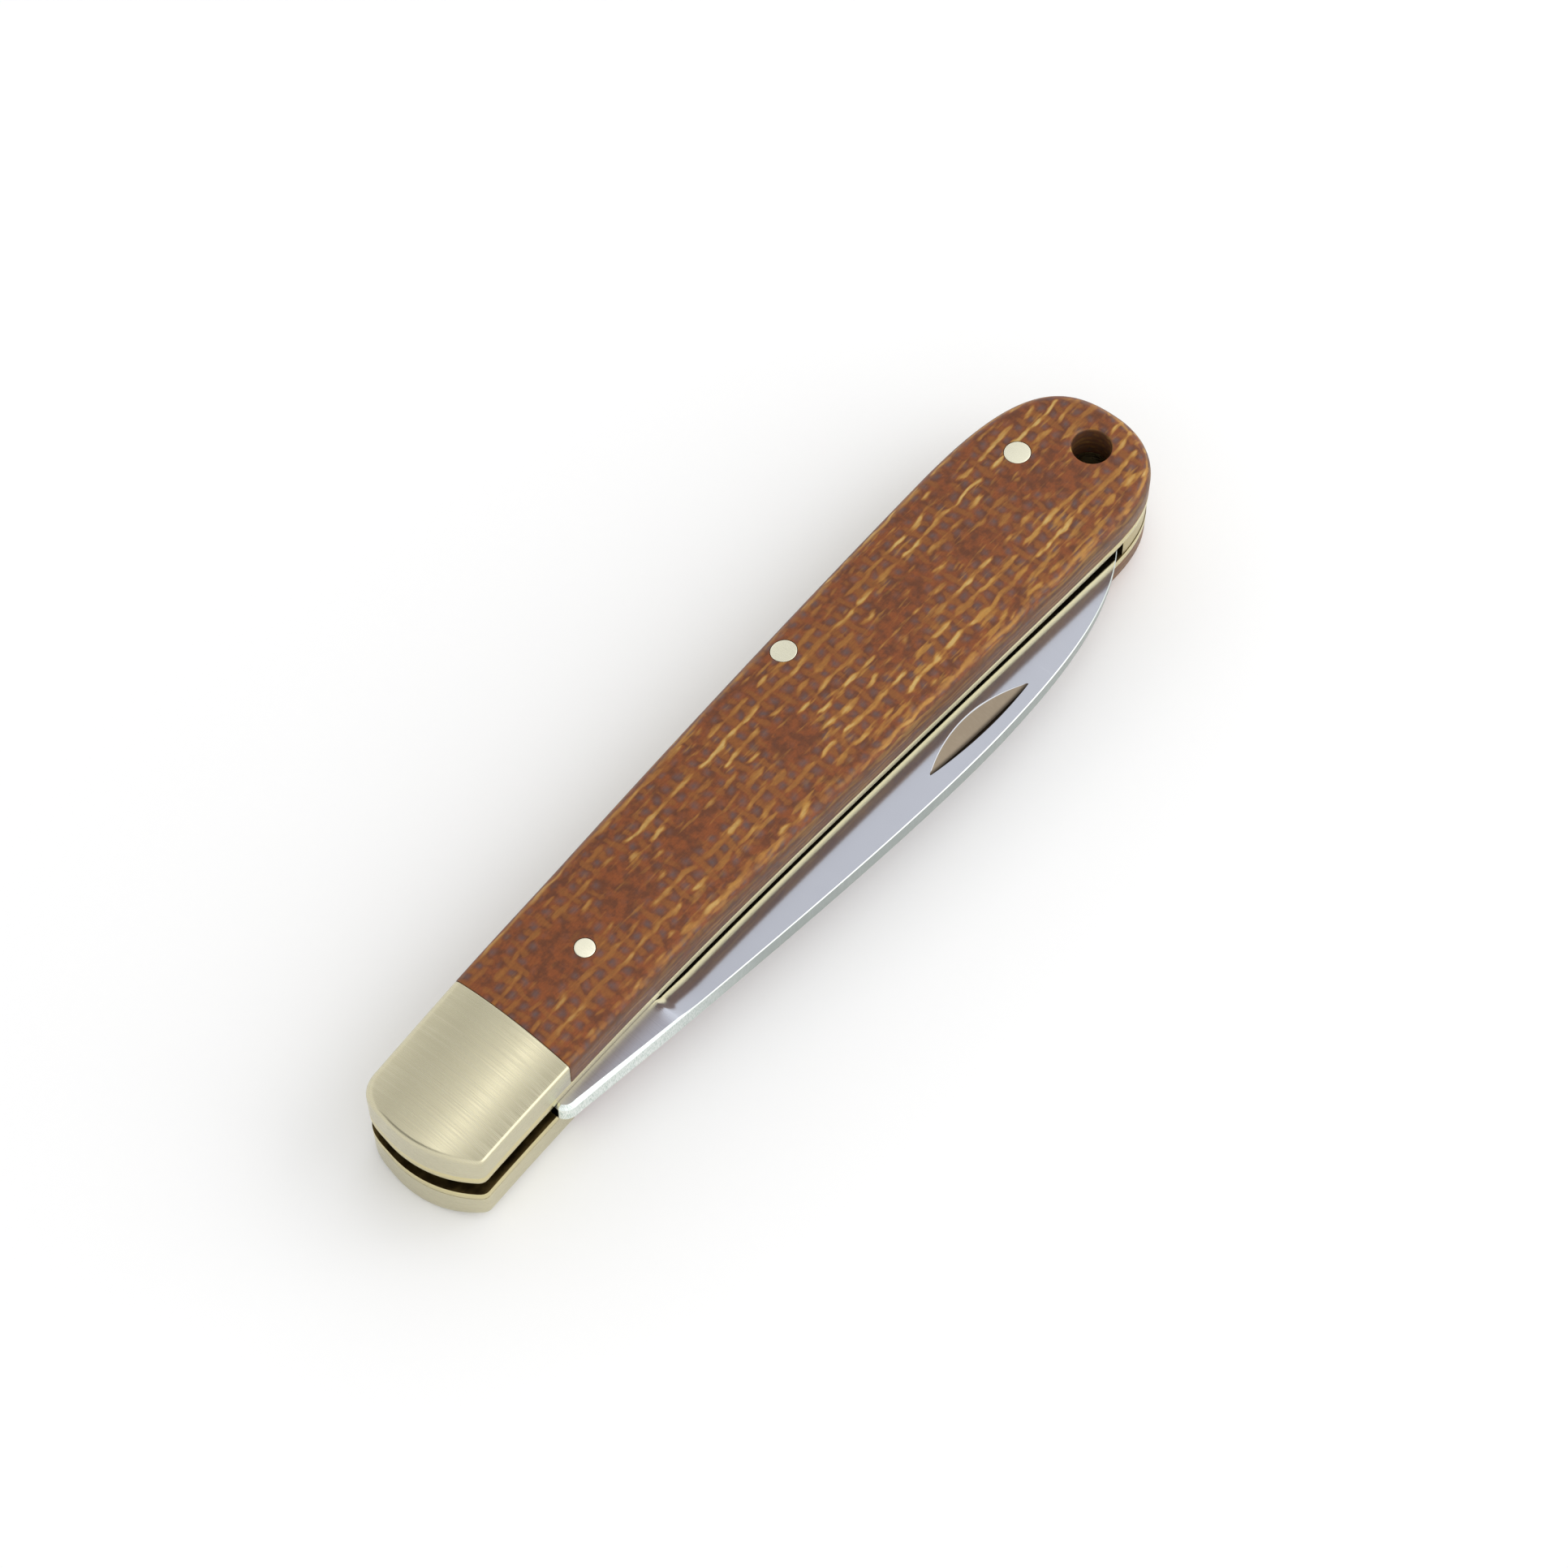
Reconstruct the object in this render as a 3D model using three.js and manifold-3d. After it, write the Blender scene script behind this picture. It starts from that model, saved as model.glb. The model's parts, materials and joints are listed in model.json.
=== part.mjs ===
// A closed single-blade slip-joint pocket knife lying on its side, in millimetres, +Z up.
// The pieces are worked out about the blade's pivot: +X runs from the nose to the butt, +Y from the
// belly, where the blade comes out, to the back, and z = 0 is the middle of the blade's slot.
import * as THREE from 'three';
import { mergeVertices } from 'three/addons/utils/BufferGeometryUtils.js';
import Module from 'manifold-3d';

const wasm = await Module();
wasm.setup();

// Handle in plan
const handleLength = 108.6;
const noseReach = 7.9; // pivot to the front of the nose
const bolsterLength = 15.75;
const crownLineY = 0.5; // the ridge of the crowned covers, above the pivot
const noseRadius = 11.8;
const cornerRadius = 0.8; // where the nose meets the belly
const bellyAtNose = 7.7; // the belly and back distances are from the crown line
const bellyWaist = 6.5;
const bellySwell = 9.1;
const bellyAtButt = 10.1;
const backAtNose = 6.65;
const backRise = 8.35;
const backSwell = 9.3;
const backAtButt = 9.5;
const backStartRun = 1.2; // the back starts this far behind the belly's corner
const buttRunBelly = 10.6; // how far before the end the belly and the back start to turn
const buttRunBack = 18.6;
const originX = 47.1; // pivot to the frame's origin

// Thickness
const bladeStock = 2.5;
const bladeClearance = 0.025; // between the blade and each liner
const linerStock = 1.1;
const coverSide = 3.15; // bolster or scale at its edge, before the crown
const crown = 1.0;
const crownLand = 2; // half width of the flat along the crown line
const crownLandFront = 6; // the flat starts this far behind the nose's corner
const crownLandSetback = 10.5; // and ends this far before the butt
const bolsterEdgeRadius = 0.45;
const bolsterBackRadius = 1.0; // its edge is softer along the back
const scaleEdgeAtJunction = 1.0;
const scaleEdgeRadius = 1.7;
const edgeBlend = 17; // length over which the scale's edge grows rounder behind the bolster

// Tang and blade
const camRadius = 4.7;
const backFaceTilt = 5; // degrees, so the blade stops this much short of straight
const shoulderX = 5.3;
const shoulderRun = 1.8; // length over which the shoulder's corner rounds into the spine
const kickX = 6.2;
const ricassoEdgeY = 2.0;
const ricassoEdgeX = 8.4;
const plungeX = 19.6;
const plungeRunOut = 0.9;
const spineAtShoulder = 8.45; // below the pivot
const spineAtCrest = 14.1;
const crestX = 66;
const tipSetback = 9.8; // butt end to the blade's tip
const tipDrop = 8.95; // below the pivot
const edgeThickness = 0.24;
const tipSpineThickness = 1.1;
const tipTaper = 15; // length of the spine's taper at the tip
const nickCentreX = 64.1;
const nickWallY = -12.0;
const nickLength = 15.4;
const nickDepth = 0.62;
const nickWidth = 2.3;
const nickWallWidth = 0.4;
const nickTilt = -3.5; // degrees, against the handle's length

// Backspring
const springToTang = 0.05;
const springRecess = 0.2; // its outer edge lies this far inside the liners' edge
const springNoseGap = 0.35; // between its front end and the open blade's shoulder
const springNoseChamfer = 0.9;
const springRelief = 0.2; // behind the tang its inner edge lies this much further out
const springBlockSetback = 26.7; // where the inner edge starts to turn down, before the butt
const blockToTip = 1.1; // butt block to the closed blade's tip, along the handle
const blockFootDrop = 1.25; // and below it, where the block's edge leaves the handle
const springPinWall = 0.7; // between the middle pin's hole and the inner edge

// Pins and holes
const pinClearance = 0.08; // round every fixed pin
const pivotClearance = 0.05; // round the pivot pin, in the tang
const pinRecess = 0.05; // of short pins and rivets, below the face they end at
const pivotPinRadius = 1.6;
const scalePinRun = 10.15; // behind the bolster
const scalePinY = 0.1;
const scalePinRadius = 1.05;
const middlePinX = 56.2;
const middlePinRadius = 1.375;
const buttPinSetback = 10.75;
const buttPinY = 3.85;
const buttPinRadius = 1.4;
const lanyardSetback = 5.25;
const lanyardY = -1.6;
const lanyardRadius = 2.1;
const lanyardRim = 0.3; // rounding of the hole's mouth
const rivetRadius = 0.8;
const rivetHeadRadius = 1.2;
const rivetHeadDepth = 0.5;
const rivetLength = 3.4;
const rivetFrontRun = 4; // behind the nose
const rivetFrontY = -3.2;
const rivetBackSetback = 3.55; // before the bolster's end
const rivetBackY = 3.9;

// Fineness
const roundSteps = 4;
const crownSteps = 4;
const pinFacets = 32;
const reach = 20; // cutters and trimming blocks run this far past what they cut

// Pulls that bend an outline between its ends
const buttBellyPull = 1.4;
const buttBackPull = 5.25;
const buttBackRise = 2.75;
const noseTopRun = 3;
const noseTopDrop = 1.4;
const spinePullStart = 0.33; // shares of the stretch's length
const spinePullCrest = 0.24;
const spineRise = 0.44;
const dropPull = 0.42;
const tipPull = 4.3;
const edgePullStart = 0.43;
const edgePullTip = 0.82;
const edgeBow = 0.45;
const tangFillet = 1.1;

// Worked out from the sizes above
const buttX = handleLength - noseReach;
const junctionX = bolsterLength - noseReach;
const gapHalf = bladeStock / 2 + bladeClearance;
const linerOuterZ = gapHalf + linerStock;
const topZ = linerOuterZ + coverSide + crown;
const tipX = buttX - tipSetback;
const springUndersideY = camRadius + springToTang;
const springReliefY = springUndersideY + springRelief;
const bellyEndX = buttX - buttRunBelly;
const backEndX = buttX - buttRunBack;
const scalePin = { x: junctionX + scalePinRun, y: scalePinY, radius: scalePinRadius };
const middlePinY = springReliefY + springPinWall + middlePinRadius + pinClearance;
const middlePin = { x: middlePinX, y: middlePinY, radius: middlePinRadius };
const buttPin = { x: buttX - buttPinSetback, y: buttPinY, radius: buttPinRadius };
const lanyard = { x: buttX - lanyardSetback, y: lanyardY, radius: lanyardRadius };
const rivetFront = { x: rivetFrontRun - noseReach, y: rivetFrontY };
const rivetBack = { x: junctionX - rivetBackSetback, y: rivetBackY };

const vec = (x, y) => new THREE.Vector2(x, y);
const lerp = THREE.MathUtils.lerp;
const radians = THREE.MathUtils.degToRad;

function cubic(a, b, c, d, count) {
  return new THREE.CubicBezierCurve(a, b, c, d).getPoints(count);
}

function corner(from, at, to, count) {
  return new THREE.QuadraticBezierCurve(from, at, to).getPoints(count);
}

// Joins stretches of an outline, leaving out a start point that repeats the last end point.
function chain(...stretches) {
  const points = [];
  for (const stretch of stretches) {
    for (const point of stretch) {
      const last = points[points.length - 1];
      if (!last || last.distanceTo(point) > 1e-4) points.push(point);
    }
  }
  return points;
}

// The handle's outline, in stretches that run anticlockwise seen from above.
const noseCentre = vec(noseRadius - noseReach, crownLineY);

function nosePoint(y) {
  const rise = y - noseCentre.y;
  return vec(noseCentre.x - Math.sqrt(noseRadius ** 2 - rise ** 2), y);
}

const bellyCorner = nosePoint(crownLineY - bellyAtNose);
const noseShoulder = nosePoint(noseCentre.y + 2);
const backStart = vec(bellyCorner.x + backStartRun, crownLineY + backAtNose);

function bellyStretch() {
  const start = bellyCorner.clone();
  start.x += cornerRadius;
  const run = bellyEndX - start.x;
  const waist = vec(start.x + run / 3, crownLineY - bellyWaist);
  const swell = vec(start.x + (run * 2) / 3, crownLineY - bellySwell);
  return cubic(start, waist, swell, vec(bellyEndX, crownLineY - bellyAtButt), 26);
}

function buttStretch() {
  const start = vec(bellyEndX, crownLineY - bellyAtButt);
  const end = vec(backEndX, crownLineY + backAtButt);
  const middle = vec(buttX, crownLineY - 0.8);
  const belowPull = vec(buttX + buttBellyPull, start.y - 0.4);
  const lower = cubic(start, belowPull, vec(buttX, middle.y - 0.3), middle, 12);
  const upper = cubic(middle, vec(buttX, end.y - buttBackRise), vec(buttX - buttBackPull, end.y), end, 14);
  return chain(lower, upper);
}

function backStretch() {
  const end = vec(backEndX, crownLineY + backAtButt);
  const run = backEndX - backStart.x;
  const swell = vec(end.x - run / 3, crownLineY + backSwell);
  const rise = vec(end.x - (run * 2) / 3, crownLineY + backRise);
  return cubic(end, swell, rise, backStart, 22);
}

function noseStretch() {
  const turn = vec(backStart.x - noseTopRun, backStart.y - noseTopDrop);
  const rounding = corner(backStart, vec(lerp(backStart.x, turn.x, 0.68), backStart.y), turn, 5);
  const pullDown = vec(turn.x - 0.6, turn.y - 0.9);
  const upper = cubic(turn, pullDown, vec(noseShoulder.x + 0.2, noseShoulder.y + 1.1), noseShoulder, 5);
  const arc = [];
  const arcEnd = bellyCorner.y + cornerRadius;
  const arcSteps = 12;
  for (let i = 0; i <= arcSteps; i += 1) {
    arc.push(nosePoint(lerp(noseShoulder.y, arcEnd, i / arcSteps)));
  }
  const bellyStart = vec(bellyCorner.x + cornerRadius, bellyCorner.y);
  const turnIn = corner(arc[arcSteps], bellyCorner, bellyStart, 4);
  return chain(rounding, upper, arc, turnIn);
}

const belly = bellyStretch();
const back = backStretch();
const handleOutline = chain(belly, buttStretch(), back, noseStretch()).slice(0, -1);

// Outward normal of the outline at each point. An open outline uses its end points' own direction.
function normals(points, closed) {
  const count = points.length;
  return points.map((_, i) => {
    const before = closed ? points[(i + count - 1) % count] : points[Math.max(i - 1, 0)];
    const after = closed ? points[(i + 1) % count] : points[Math.min(i + 1, count - 1)];
    return vec(after.y - before.y, before.x - after.x).normalize();
  });
}

function inset(points, distance) {
  const out = normals(points, true);
  return points.map((point, i) => point.clone().addScaledVector(out[i], -distance));
}

// Solids
function toSolid(geometry) {
  const bare = geometry.clone();
  bare.deleteAttribute('normal');
  bare.deleteAttribute('uv');
  const merged = mergeVertices(bare, 1e-5);
  const vertProperties = new Float32Array(merged.attributes.position.array);
  const triVerts = new Uint32Array(merged.index.array);
  return new wasm.Manifold(new wasm.Mesh({ numProp: 3, vertProperties, triVerts }));
}

function toGeometry(solid) {
  const mesh = solid.getMesh();
  const geometry = new THREE.BufferGeometry();
  geometry.setAttribute('position', new THREE.BufferAttribute(mesh.vertProperties, 3));
  geometry.setIndex(new THREE.BufferAttribute(mesh.triVerts, 1));
  geometry.computeVertexNormals();
  return geometry;
}

function plate(points, fromZ, toZ) {
  const depth = toZ - fromZ;
  const geometry = new THREE.ExtrudeGeometry(new THREE.Shape(points), { depth, bevelEnabled: false });
  geometry.translate(0, 0, fromZ);
  return toSolid(geometry);
}

function block(fromX, toX, fromZ, toZ) {
  const geometry = new THREE.BoxGeometry(toX - fromX, 2 * handleLength, toZ - fromZ);
  geometry.translate((fromX + toX) / 2, 0, (fromZ + toZ) / 2);
  return toSolid(geometry);
}

// A round solid on an upright axis: radii and heights from the bottom up.
function turned(place, profile) {
  const bottomZ = profile[0][1];
  const topEndZ = profile[profile.length - 1][1];
  const side = profile.map(([radius, z]) => vec(radius, z));
  const geometry = new THREE.LatheGeometry([vec(0, bottomZ), ...side, vec(0, topEndZ)], pinFacets);
  geometry.rotateX(Math.PI / 2);
  geometry.translate(place.x, place.y, 0);
  return toSolid(geometry);
}

function rod(place, radius, fromZ, toZ) {
  return turned(place, [[radius, fromZ], [radius, toZ]]);
}

// Rings of points stacked into a closed body, with flat ends.
function ringBody(rings) {
  const count = rings[0].length;
  const positions = rings.flat().flatMap((p) => [p.x, p.y, p.z]);
  const faces = [];
  for (let r = 0; r < rings.length - 1; r += 1) {
    for (let i = 0; i < count; i += 1) {
      const a = r * count + i;
      const b = r * count + ((i + 1) % count);
      faces.push(a, b, b + count, a, b + count, a + count);
    }
  }
  const bottom = THREE.ShapeUtils.triangulateShape(rings[0], []);
  const top = THREE.ShapeUtils.triangulateShape(rings[rings.length - 1], []);
  const topStart = (rings.length - 1) * count;
  for (const [a, b, c] of bottom) faces.push(a, c, b);
  for (const [a, b, c] of top) faces.push(topStart + a, topStart + b, topStart + c);
  const geometry = new THREE.BufferGeometry();
  geometry.setAttribute('position', new THREE.Float32BufferAttribute(positions, 3));
  geometry.setIndex(faces);
  return toSolid(geometry);
}

// How far the outline lies from the crown line at x, on the belly's or the back's side.
function halfWidth(x, onBelly) {
  const stretch = onBelly ? belly : [...back].reverse();
  const last = stretch.length - 1;
  if (x <= stretch[0].x) return Math.abs(stretch[0].y - crownLineY);
  if (x >= stretch[last].x) return Math.abs(stretch[last].y - crownLineY);
  const i = stretch.findIndex((point) => point.x >= x);
  const share = (x - stretch[i - 1].x) / (stretch[i].x - stretch[i - 1].x);
  return Math.abs(lerp(stretch[i - 1].y, stretch[i].y, share) - crownLineY);
}

// The crown is flat along its line and falls as a parabola to each edge.
function crownFall(x, y) {
  const away = Math.max(Math.abs(y - crownLineY) - crownLand, 0);
  const span = halfWidth(x, y < crownLineY) - crownLand;
  return { drop: crown * (away / span) ** 2, slope: (2 * crown * away) / span ** 2 };
}

// Half of the handle, from the slot's middle up: upright sides, a rounded edge, then the crown.
function crownedHalf(outline, edgeRadius) {
  const out = normals(outline, false);
  const landFrom = bellyCorner.x + crownLandFront;
  const landTo = buttX - crownLandSetback;
  const insideLand = crownLand * 0.98; // so that the innermost ring is certain to be flat
  const rings = Array.from({ length: roundSteps + crownSteps + 2 }, () => []);
  outline.forEach((point, i) => {
    const radius = edgeRadius(point.x, point.y);
    const { slope } = crownFall(point.x, point.y);
    const turn = Math.PI / 2 - Math.atan(slope * Math.abs(out[i].y));
    const roundEnd = point.clone().addScaledVector(out[i], -radius * (1 - Math.cos(turn)));
    const roundTop = topZ - crownFall(roundEnd.x, roundEnd.y).drop;
    rings[0].push(new THREE.Vector3(point.x, point.y, 0));
    for (let step = 0; step <= roundSteps; step += 1) {
      const angle = (turn * step) / roundSteps;
      const at = point.clone().addScaledVector(out[i], -radius * (1 - Math.cos(angle)));
      const z = roundTop - radius * (Math.sin(turn) - Math.sin(angle));
      rings[step + 1].push(new THREE.Vector3(at.x, at.y, z));
    }
    const ridge = vec(THREE.MathUtils.clamp(point.x, landFrom, landTo), crownLineY);
    const inward = point.clone().sub(ridge).setLength(insideLand);
    const landPoint = ridge.add(inward);
    for (let step = 1; step <= crownSteps; step += 1) {
      const at = roundEnd.clone().lerp(landPoint, step / crownSteps);
      const z = topZ - crownFall(at.x, at.y).drop;
      rings[roundSteps + 1 + step].push(new THREE.Vector3(at.x, at.y, z));
    }
  });
  return ringBody(rings);
}

function mirrored(solid) {
  return solid.mirror([0, 0, 1]);
}

function bolsterEdge(x, y) {
  const share = THREE.MathUtils.smoothstep(y, crownLineY + backAtNose / 2, crownLineY + backAtNose);
  return lerp(bolsterEdgeRadius, bolsterBackRadius, share);
}

function scaleEdge(x) {
  const share = THREE.MathUtils.smoothstep(x, junctionX, junctionX + edgeBlend);
  return lerp(scaleEdgeAtJunction, scaleEdgeRadius, share);
}

// The scale's half runs from just before the junction round the butt, the bolster's round the nose.
const overrun = 2;
const scaleOutline = chain(
  belly.filter((point) => point.x > junctionX - overrun),
  buttStretch(),
  back.filter((point) => point.x > junctionX - overrun),
);
const bolsterOutline = chain(
  back.filter((point) => point.x < junctionX + 2 * overrun),
  noseStretch(),
  belly.filter((point) => point.x < junctionX + 2 * overrun),
);
const scaleHalf = crownedHalf(scaleOutline, scaleEdge);
const bolsterHalf = crownedHalf(bolsterOutline, bolsterEdge);

// Every fixed pin that goes right through ends flush with the covers.
const pinHoles = [middlePin, buttPin].map((pin) => rod(pin, pin.radius + pinClearance, -reach, reach));
const lanyardHole = turned(lanyard, [
  [lanyard.radius + lanyardRim + reach, -topZ - reach],
  [lanyard.radius, -topZ + lanyardRim],
  [lanyard.radius, topZ - lanyardRim],
  [lanyard.radius + lanyardRim + reach, topZ + reach],
]);
const pivotHole = rod({ x: 0, y: 0 }, pivotPinRadius + pinClearance, -reach, reach);

function rivetProfile(spare) {
  const headZ = gapHalf + rivetHeadDepth;
  return [
    [rivetHeadRadius + spare, gapHalf - (spare ? 1 : -pinRecess)],
    [rivetHeadRadius + spare, gapHalf + pinRecess + spare],
    [rivetRadius + spare, headZ + spare],
    [rivetRadius + spare, gapHalf + rivetLength + 2 * spare],
  ];
}

function cut(solid, cutters) {
  return cutters.reduce((left, cutter) => left.subtract(cutter), solid);
}

const rivets = [rivetFront, rivetBack];
const rivetHoles = rivets.map((place) => turned(place, rivetProfile(pinClearance)));
const scalePinHole = rod(scalePin, scalePin.radius + pinClearance, 0, reach);

function linerTop() {
  const body = plate(handleOutline, gapHalf, linerOuterZ);
  return cut(body, [pivotHole, scalePinHole, lanyardHole, ...pinHoles, ...rivetHoles]);
}

const belowCovers = block(-reach, buttX + reach, -reach, linerOuterZ);

function bolsterTop() {
  const behind = block(junctionX, buttX + reach, 0, reach);
  return cut(bolsterHalf, [belowCovers, behind, pivotHole, ...rivetHoles]);
}

function scaleTop() {
  const inFront = block(-reach, junctionX, 0, reach);
  return cut(scaleHalf, [belowCovers, inFront, scalePinHole, lanyardHole, ...pinHoles]);
}

function flushPin(pin) {
  const half = rod(pin, pin.radius, 0, reach).intersect(scaleHalf);
  return half.add(mirrored(half));
}

function scalePinTop() {
  return rod(scalePin, scalePin.radius, gapHalf + pinRecess, reach).intersect(scaleHalf);
}

// The backspring: a bar along the back that turns down into a block round the butt.
function backspring() {
  const front = -(shoulderX + springNoseGap);
  const underside = springUndersideY;
  const inner = [
    vec(front, underside + springNoseChamfer),
    vec(front + springNoseChamfer, underside),
    vec(kickX + 2, underside),
    vec(kickX + 4, springReliefY),
  ];
  const blockFoot = vec(tipX + blockToTip, -tipDrop - blockFootDrop);
  const turnDown = vec(buttX - springBlockSetback, springReliefY);
  const turnPull = vec(turnDown.x + 10, turnDown.y);
  const blockEdge = cubic(turnDown, turnPull, vec(blockFoot.x - 2.6, blockFoot.y + 6.2), blockFoot, 12);
  const outside = [
    vec(blockFoot.x, -reach),
    vec(buttX + reach, -reach),
    vec(buttX + reach, reach),
    vec(front, reach),
  ];
  const region = plate([...inner, ...blockEdge, ...outside], -gapHalf, gapHalf);
  const body = plate(inset(handleOutline, springRecess), -gapHalf, gapHalf).intersect(region);
  return cut(body, [lanyardHole, ...pinHoles]);
}

// The blade, lying closed. Its spine runs from the shoulder to a crest and down to the tip.
const spineStart = vec(shoulderX + shoulderRun, -spineAtShoulder);
const spineCrest = vec(crestX, -spineAtCrest);
const bladeTip = vec(tipX, -tipDrop);

function spineStretch() {
  const run = crestX - spineStart.x;
  const straight = cubic(
    spineStart,
    vec(spineStart.x + run * spinePullStart, -lerp(spineAtShoulder, spineAtCrest, spineRise)),
    vec(crestX - run * spinePullCrest, -spineAtCrest),
    spineCrest,
    16,
  );
  const drop = tipX - crestX;
  const nose = cubic(
    spineCrest,
    vec(crestX + drop * dropPull, -spineAtCrest),
    vec(tipX - drop * spinePullCrest, -tipDrop - tipPull),
    bladeTip,
    14,
  );
  return chain(straight, nose);
}

function edgeStretch() {
  const start = vec(plungeX, ricassoEdgeY);
  const run = tipX - plungeX;
  return cubic(
    start,
    vec(start.x + run * edgePullStart, ricassoEdgeY + edgeBow),
    vec(start.x + run * edgePullTip, ricassoEdgeY + edgeBow),
    bladeTip,
    22,
  );
}

function bladeOutline() {
  const tilt = radians(backFaceTilt);
  const along = vec(Math.cos(tilt), -Math.sin(tilt));
  const touch = vec(-camRadius * Math.sin(tilt), -camRadius * Math.cos(tilt));
  const root = touch.clone().addScaledVector(along, shoulderX + camRadius * Math.sin(tilt));
  const cam = [];
  const camSteps = 24;
  for (let i = 0; i <= camSteps; i += 1) {
    const angle = lerp(Math.PI * 1.5 - tilt, Math.PI / 2, i / camSteps);
    cam.push(vec(camRadius * Math.cos(angle), camRadius * Math.sin(angle)));
  }
  const kickFoot = vec(lerp(kickX, ricassoEdgeX, 0.3), ricassoEdgeY);
  const kick = corner(vec(kickX, camRadius), kickFoot, vec(ricassoEdgeX, ricassoEdgeY), 5);
  const faceTop = vec(shoulderX, -spineAtShoulder + tangFillet);
  const faceEnd = vec(shoulderX, root.y - tangFillet);
  const shoulder = corner(spineStart, vec(shoulderX + 0.4, -spineAtShoulder), faceTop, 4);
  const fillet = corner(faceEnd, root, root.clone().addScaledVector(along, -tangFillet), 4);
  return chain(cam, kick, edgeStretch(), [...spineStretch()].reverse(), shoulder, fillet);
}

// y on a stretch of outline at x
function heightAt(stretch, x) {
  const i = stretch.findIndex((point) => point.x >= x);
  if (i === 0) return stretch[0].y;
  if (i < 0) return stretch[stretch.length - 1].y;
  const share = (x - stretch[i - 1].x) / (stretch[i].x - stretch[i - 1].x);
  return lerp(stretch[i - 1].y, stretch[i].y, share);
}

// What the grinding wheel takes off the upper face: above a surface that falls from the spine to the
// edge, with a short run-out at the plunge line.
function grindCutter() {
  const spine = spineStretch();
  const edge = edgeStretch();
  const stations = 30;
  const stop = tipX - 0.25;
  const half = bladeStock / 2;
  const overSpine = 3;
  const rings = [];
  const addRing = (x, ySpine, yEdge, zSpine, zEdge) => {
    const fall = zSpine - zEdge;
    const past = (overSpine * fall) / Math.max(yEdge - ySpine, overSpine);
    rings.push([
      new THREE.Vector3(x, ySpine - overSpine, zSpine),
      new THREE.Vector3(x, ySpine, zSpine),
      new THREE.Vector3(x, yEdge, zEdge),
      new THREE.Vector3(x, yEdge + overSpine, zEdge - past),
      new THREE.Vector3(x, yEdge + overSpine, half + overSpine),
      new THREE.Vector3(x, ySpine - overSpine, half + overSpine),
    ]);
  };
  const startSpine = heightAt(spine, plungeX - plungeRunOut);
  addRing(plungeX - plungeRunOut, startSpine, ricassoEdgeY, half + 0.02, half + 0.02);
  for (let i = 0; i <= stations; i += 1) {
    const x = lerp(plungeX, stop, i / stations);
    const taper = THREE.MathUtils.smoothstep(x, tipX - tipTaper, tipX);
    const zSpine = lerp(half, tipSpineThickness / 2, taper);
    addRing(x, heightAt(spine, x), heightAt(edge, x), zSpine, edgeThickness / 2);
  }
  addRing(tipX + overSpine, -tipDrop - 0.3, -tipDrop + 0.3, tipSpineThickness / 2, edgeThickness / 2);
  return ringBodyAlongX(rings);
}

// Sections across x joined into a closed body. ringBody stacks along z, so the axes are turned round.
function ringBodyAlongX(rings) {
  const stacked = rings.map((ring) => ring.map((p) => new THREE.Vector3(p.y, p.z, p.x)));
  const turn = new THREE.Matrix4().set(0, 0, 1, 0, 1, 0, 0, 0, 0, 1, 0, 0, 0, 0, 0, 1);
  return ringBody(stacked).transform(turn.toArray());
}

// The wheel that cuts the nail nick: steep on the spine's side, shallow towards the edge.
function nickCutter() {
  const halfChord = nickLength / 2;
  const wheelRadius = (halfChord ** 2 + nickDepth ** 2) / (2 * nickDepth);
  const facets = 240;
  const profile = [
    vec(0, -nickWallWidth * 2),
    vec(wheelRadius - nickDepth, -nickWallWidth * 2),
    vec(wheelRadius - nickDepth, -nickWallWidth),
    vec(wheelRadius, 0),
    vec(wheelRadius - nickDepth, nickWidth),
    vec(0, nickWidth),
  ];
  const geometry = new THREE.LatheGeometry(profile, facets);
  const share = (nickWallY + spineAtCrest) / (spineAtCrest + ricassoEdgeY);
  const faceZ = lerp(bladeStock, edgeThickness, share) / 2;
  geometry.rotateZ(radians(nickTilt));
  geometry.translate(nickCentreX, nickWallY, faceZ + wheelRadius - nickDepth);
  return toSolid(geometry);
}

function blade() {
  const half = bladeStock / 2;
  const body = plate(bladeOutline(), -half, half);
  const grind = grindCutter();
  const pivot = rod({ x: 0, y: 0 }, pivotPinRadius + pivotClearance, -reach, reach);
  return cut(body, [grind, mirrored(grind), nickCutter(), pivot]);
}

// Finishes
function finish(color, roughness, metalness) {
  return new THREE.MeshStandardMaterial({ color, roughness, metalness });
}

const brass = finish(0xcfc79c, 0.34, 1);
const brightBrass = finish(0xd9cfa6, 0.3, 1);
const bladeSteel = finish(0xb9bcc4, 0.28, 1);
const springSteel = finish(0x9c9b8e, 0.36, 1);
const micarta = finish(0x8a4a22, 0.42, 0);

const knife = new THREE.Group();
const aboutPivot = new THREE.Group();
aboutPivot.position.set(-originX, -crownLineY, topZ);
knife.add(aboutPivot);

function add(name, solid, material) {
  const mesh = new THREE.Mesh(toGeometry(solid), material);
  mesh.name = name;
  aboutPivot.add(mesh);
}

function addPair(name, solid, material, suffix = '') {
  add(`${name}_top${suffix}`, solid, material);
  add(`${name}_bottom${suffix}`, mirrored(solid), material);
}

add('blade', blade(), bladeSteel);
add('backspring', backspring(), springSteel);
addPair('liner', linerTop(), brass);
addPair('bolster', bolsterTop(), brass);
addPair('scale', scaleTop(), micarta);
add('pivot_pin', rod({ x: 0, y: 0 }, pivotPinRadius, -topZ + pinRecess, topZ - pinRecess), brass);
add('spring_middle_pin', flushPin(middlePin), brightBrass);
add('spring_end_pin', flushPin(buttPin), brightBrass);
addPair('scale_pin', scalePinTop(), brightBrass);
addPair('bolster_rivet', turned(rivetFront, rivetProfile(0)), brass, '_front');
addPair('bolster_rivet', turned(rivetBack, rivetProfile(0)), brass, '_back');

export default knife;
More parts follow.
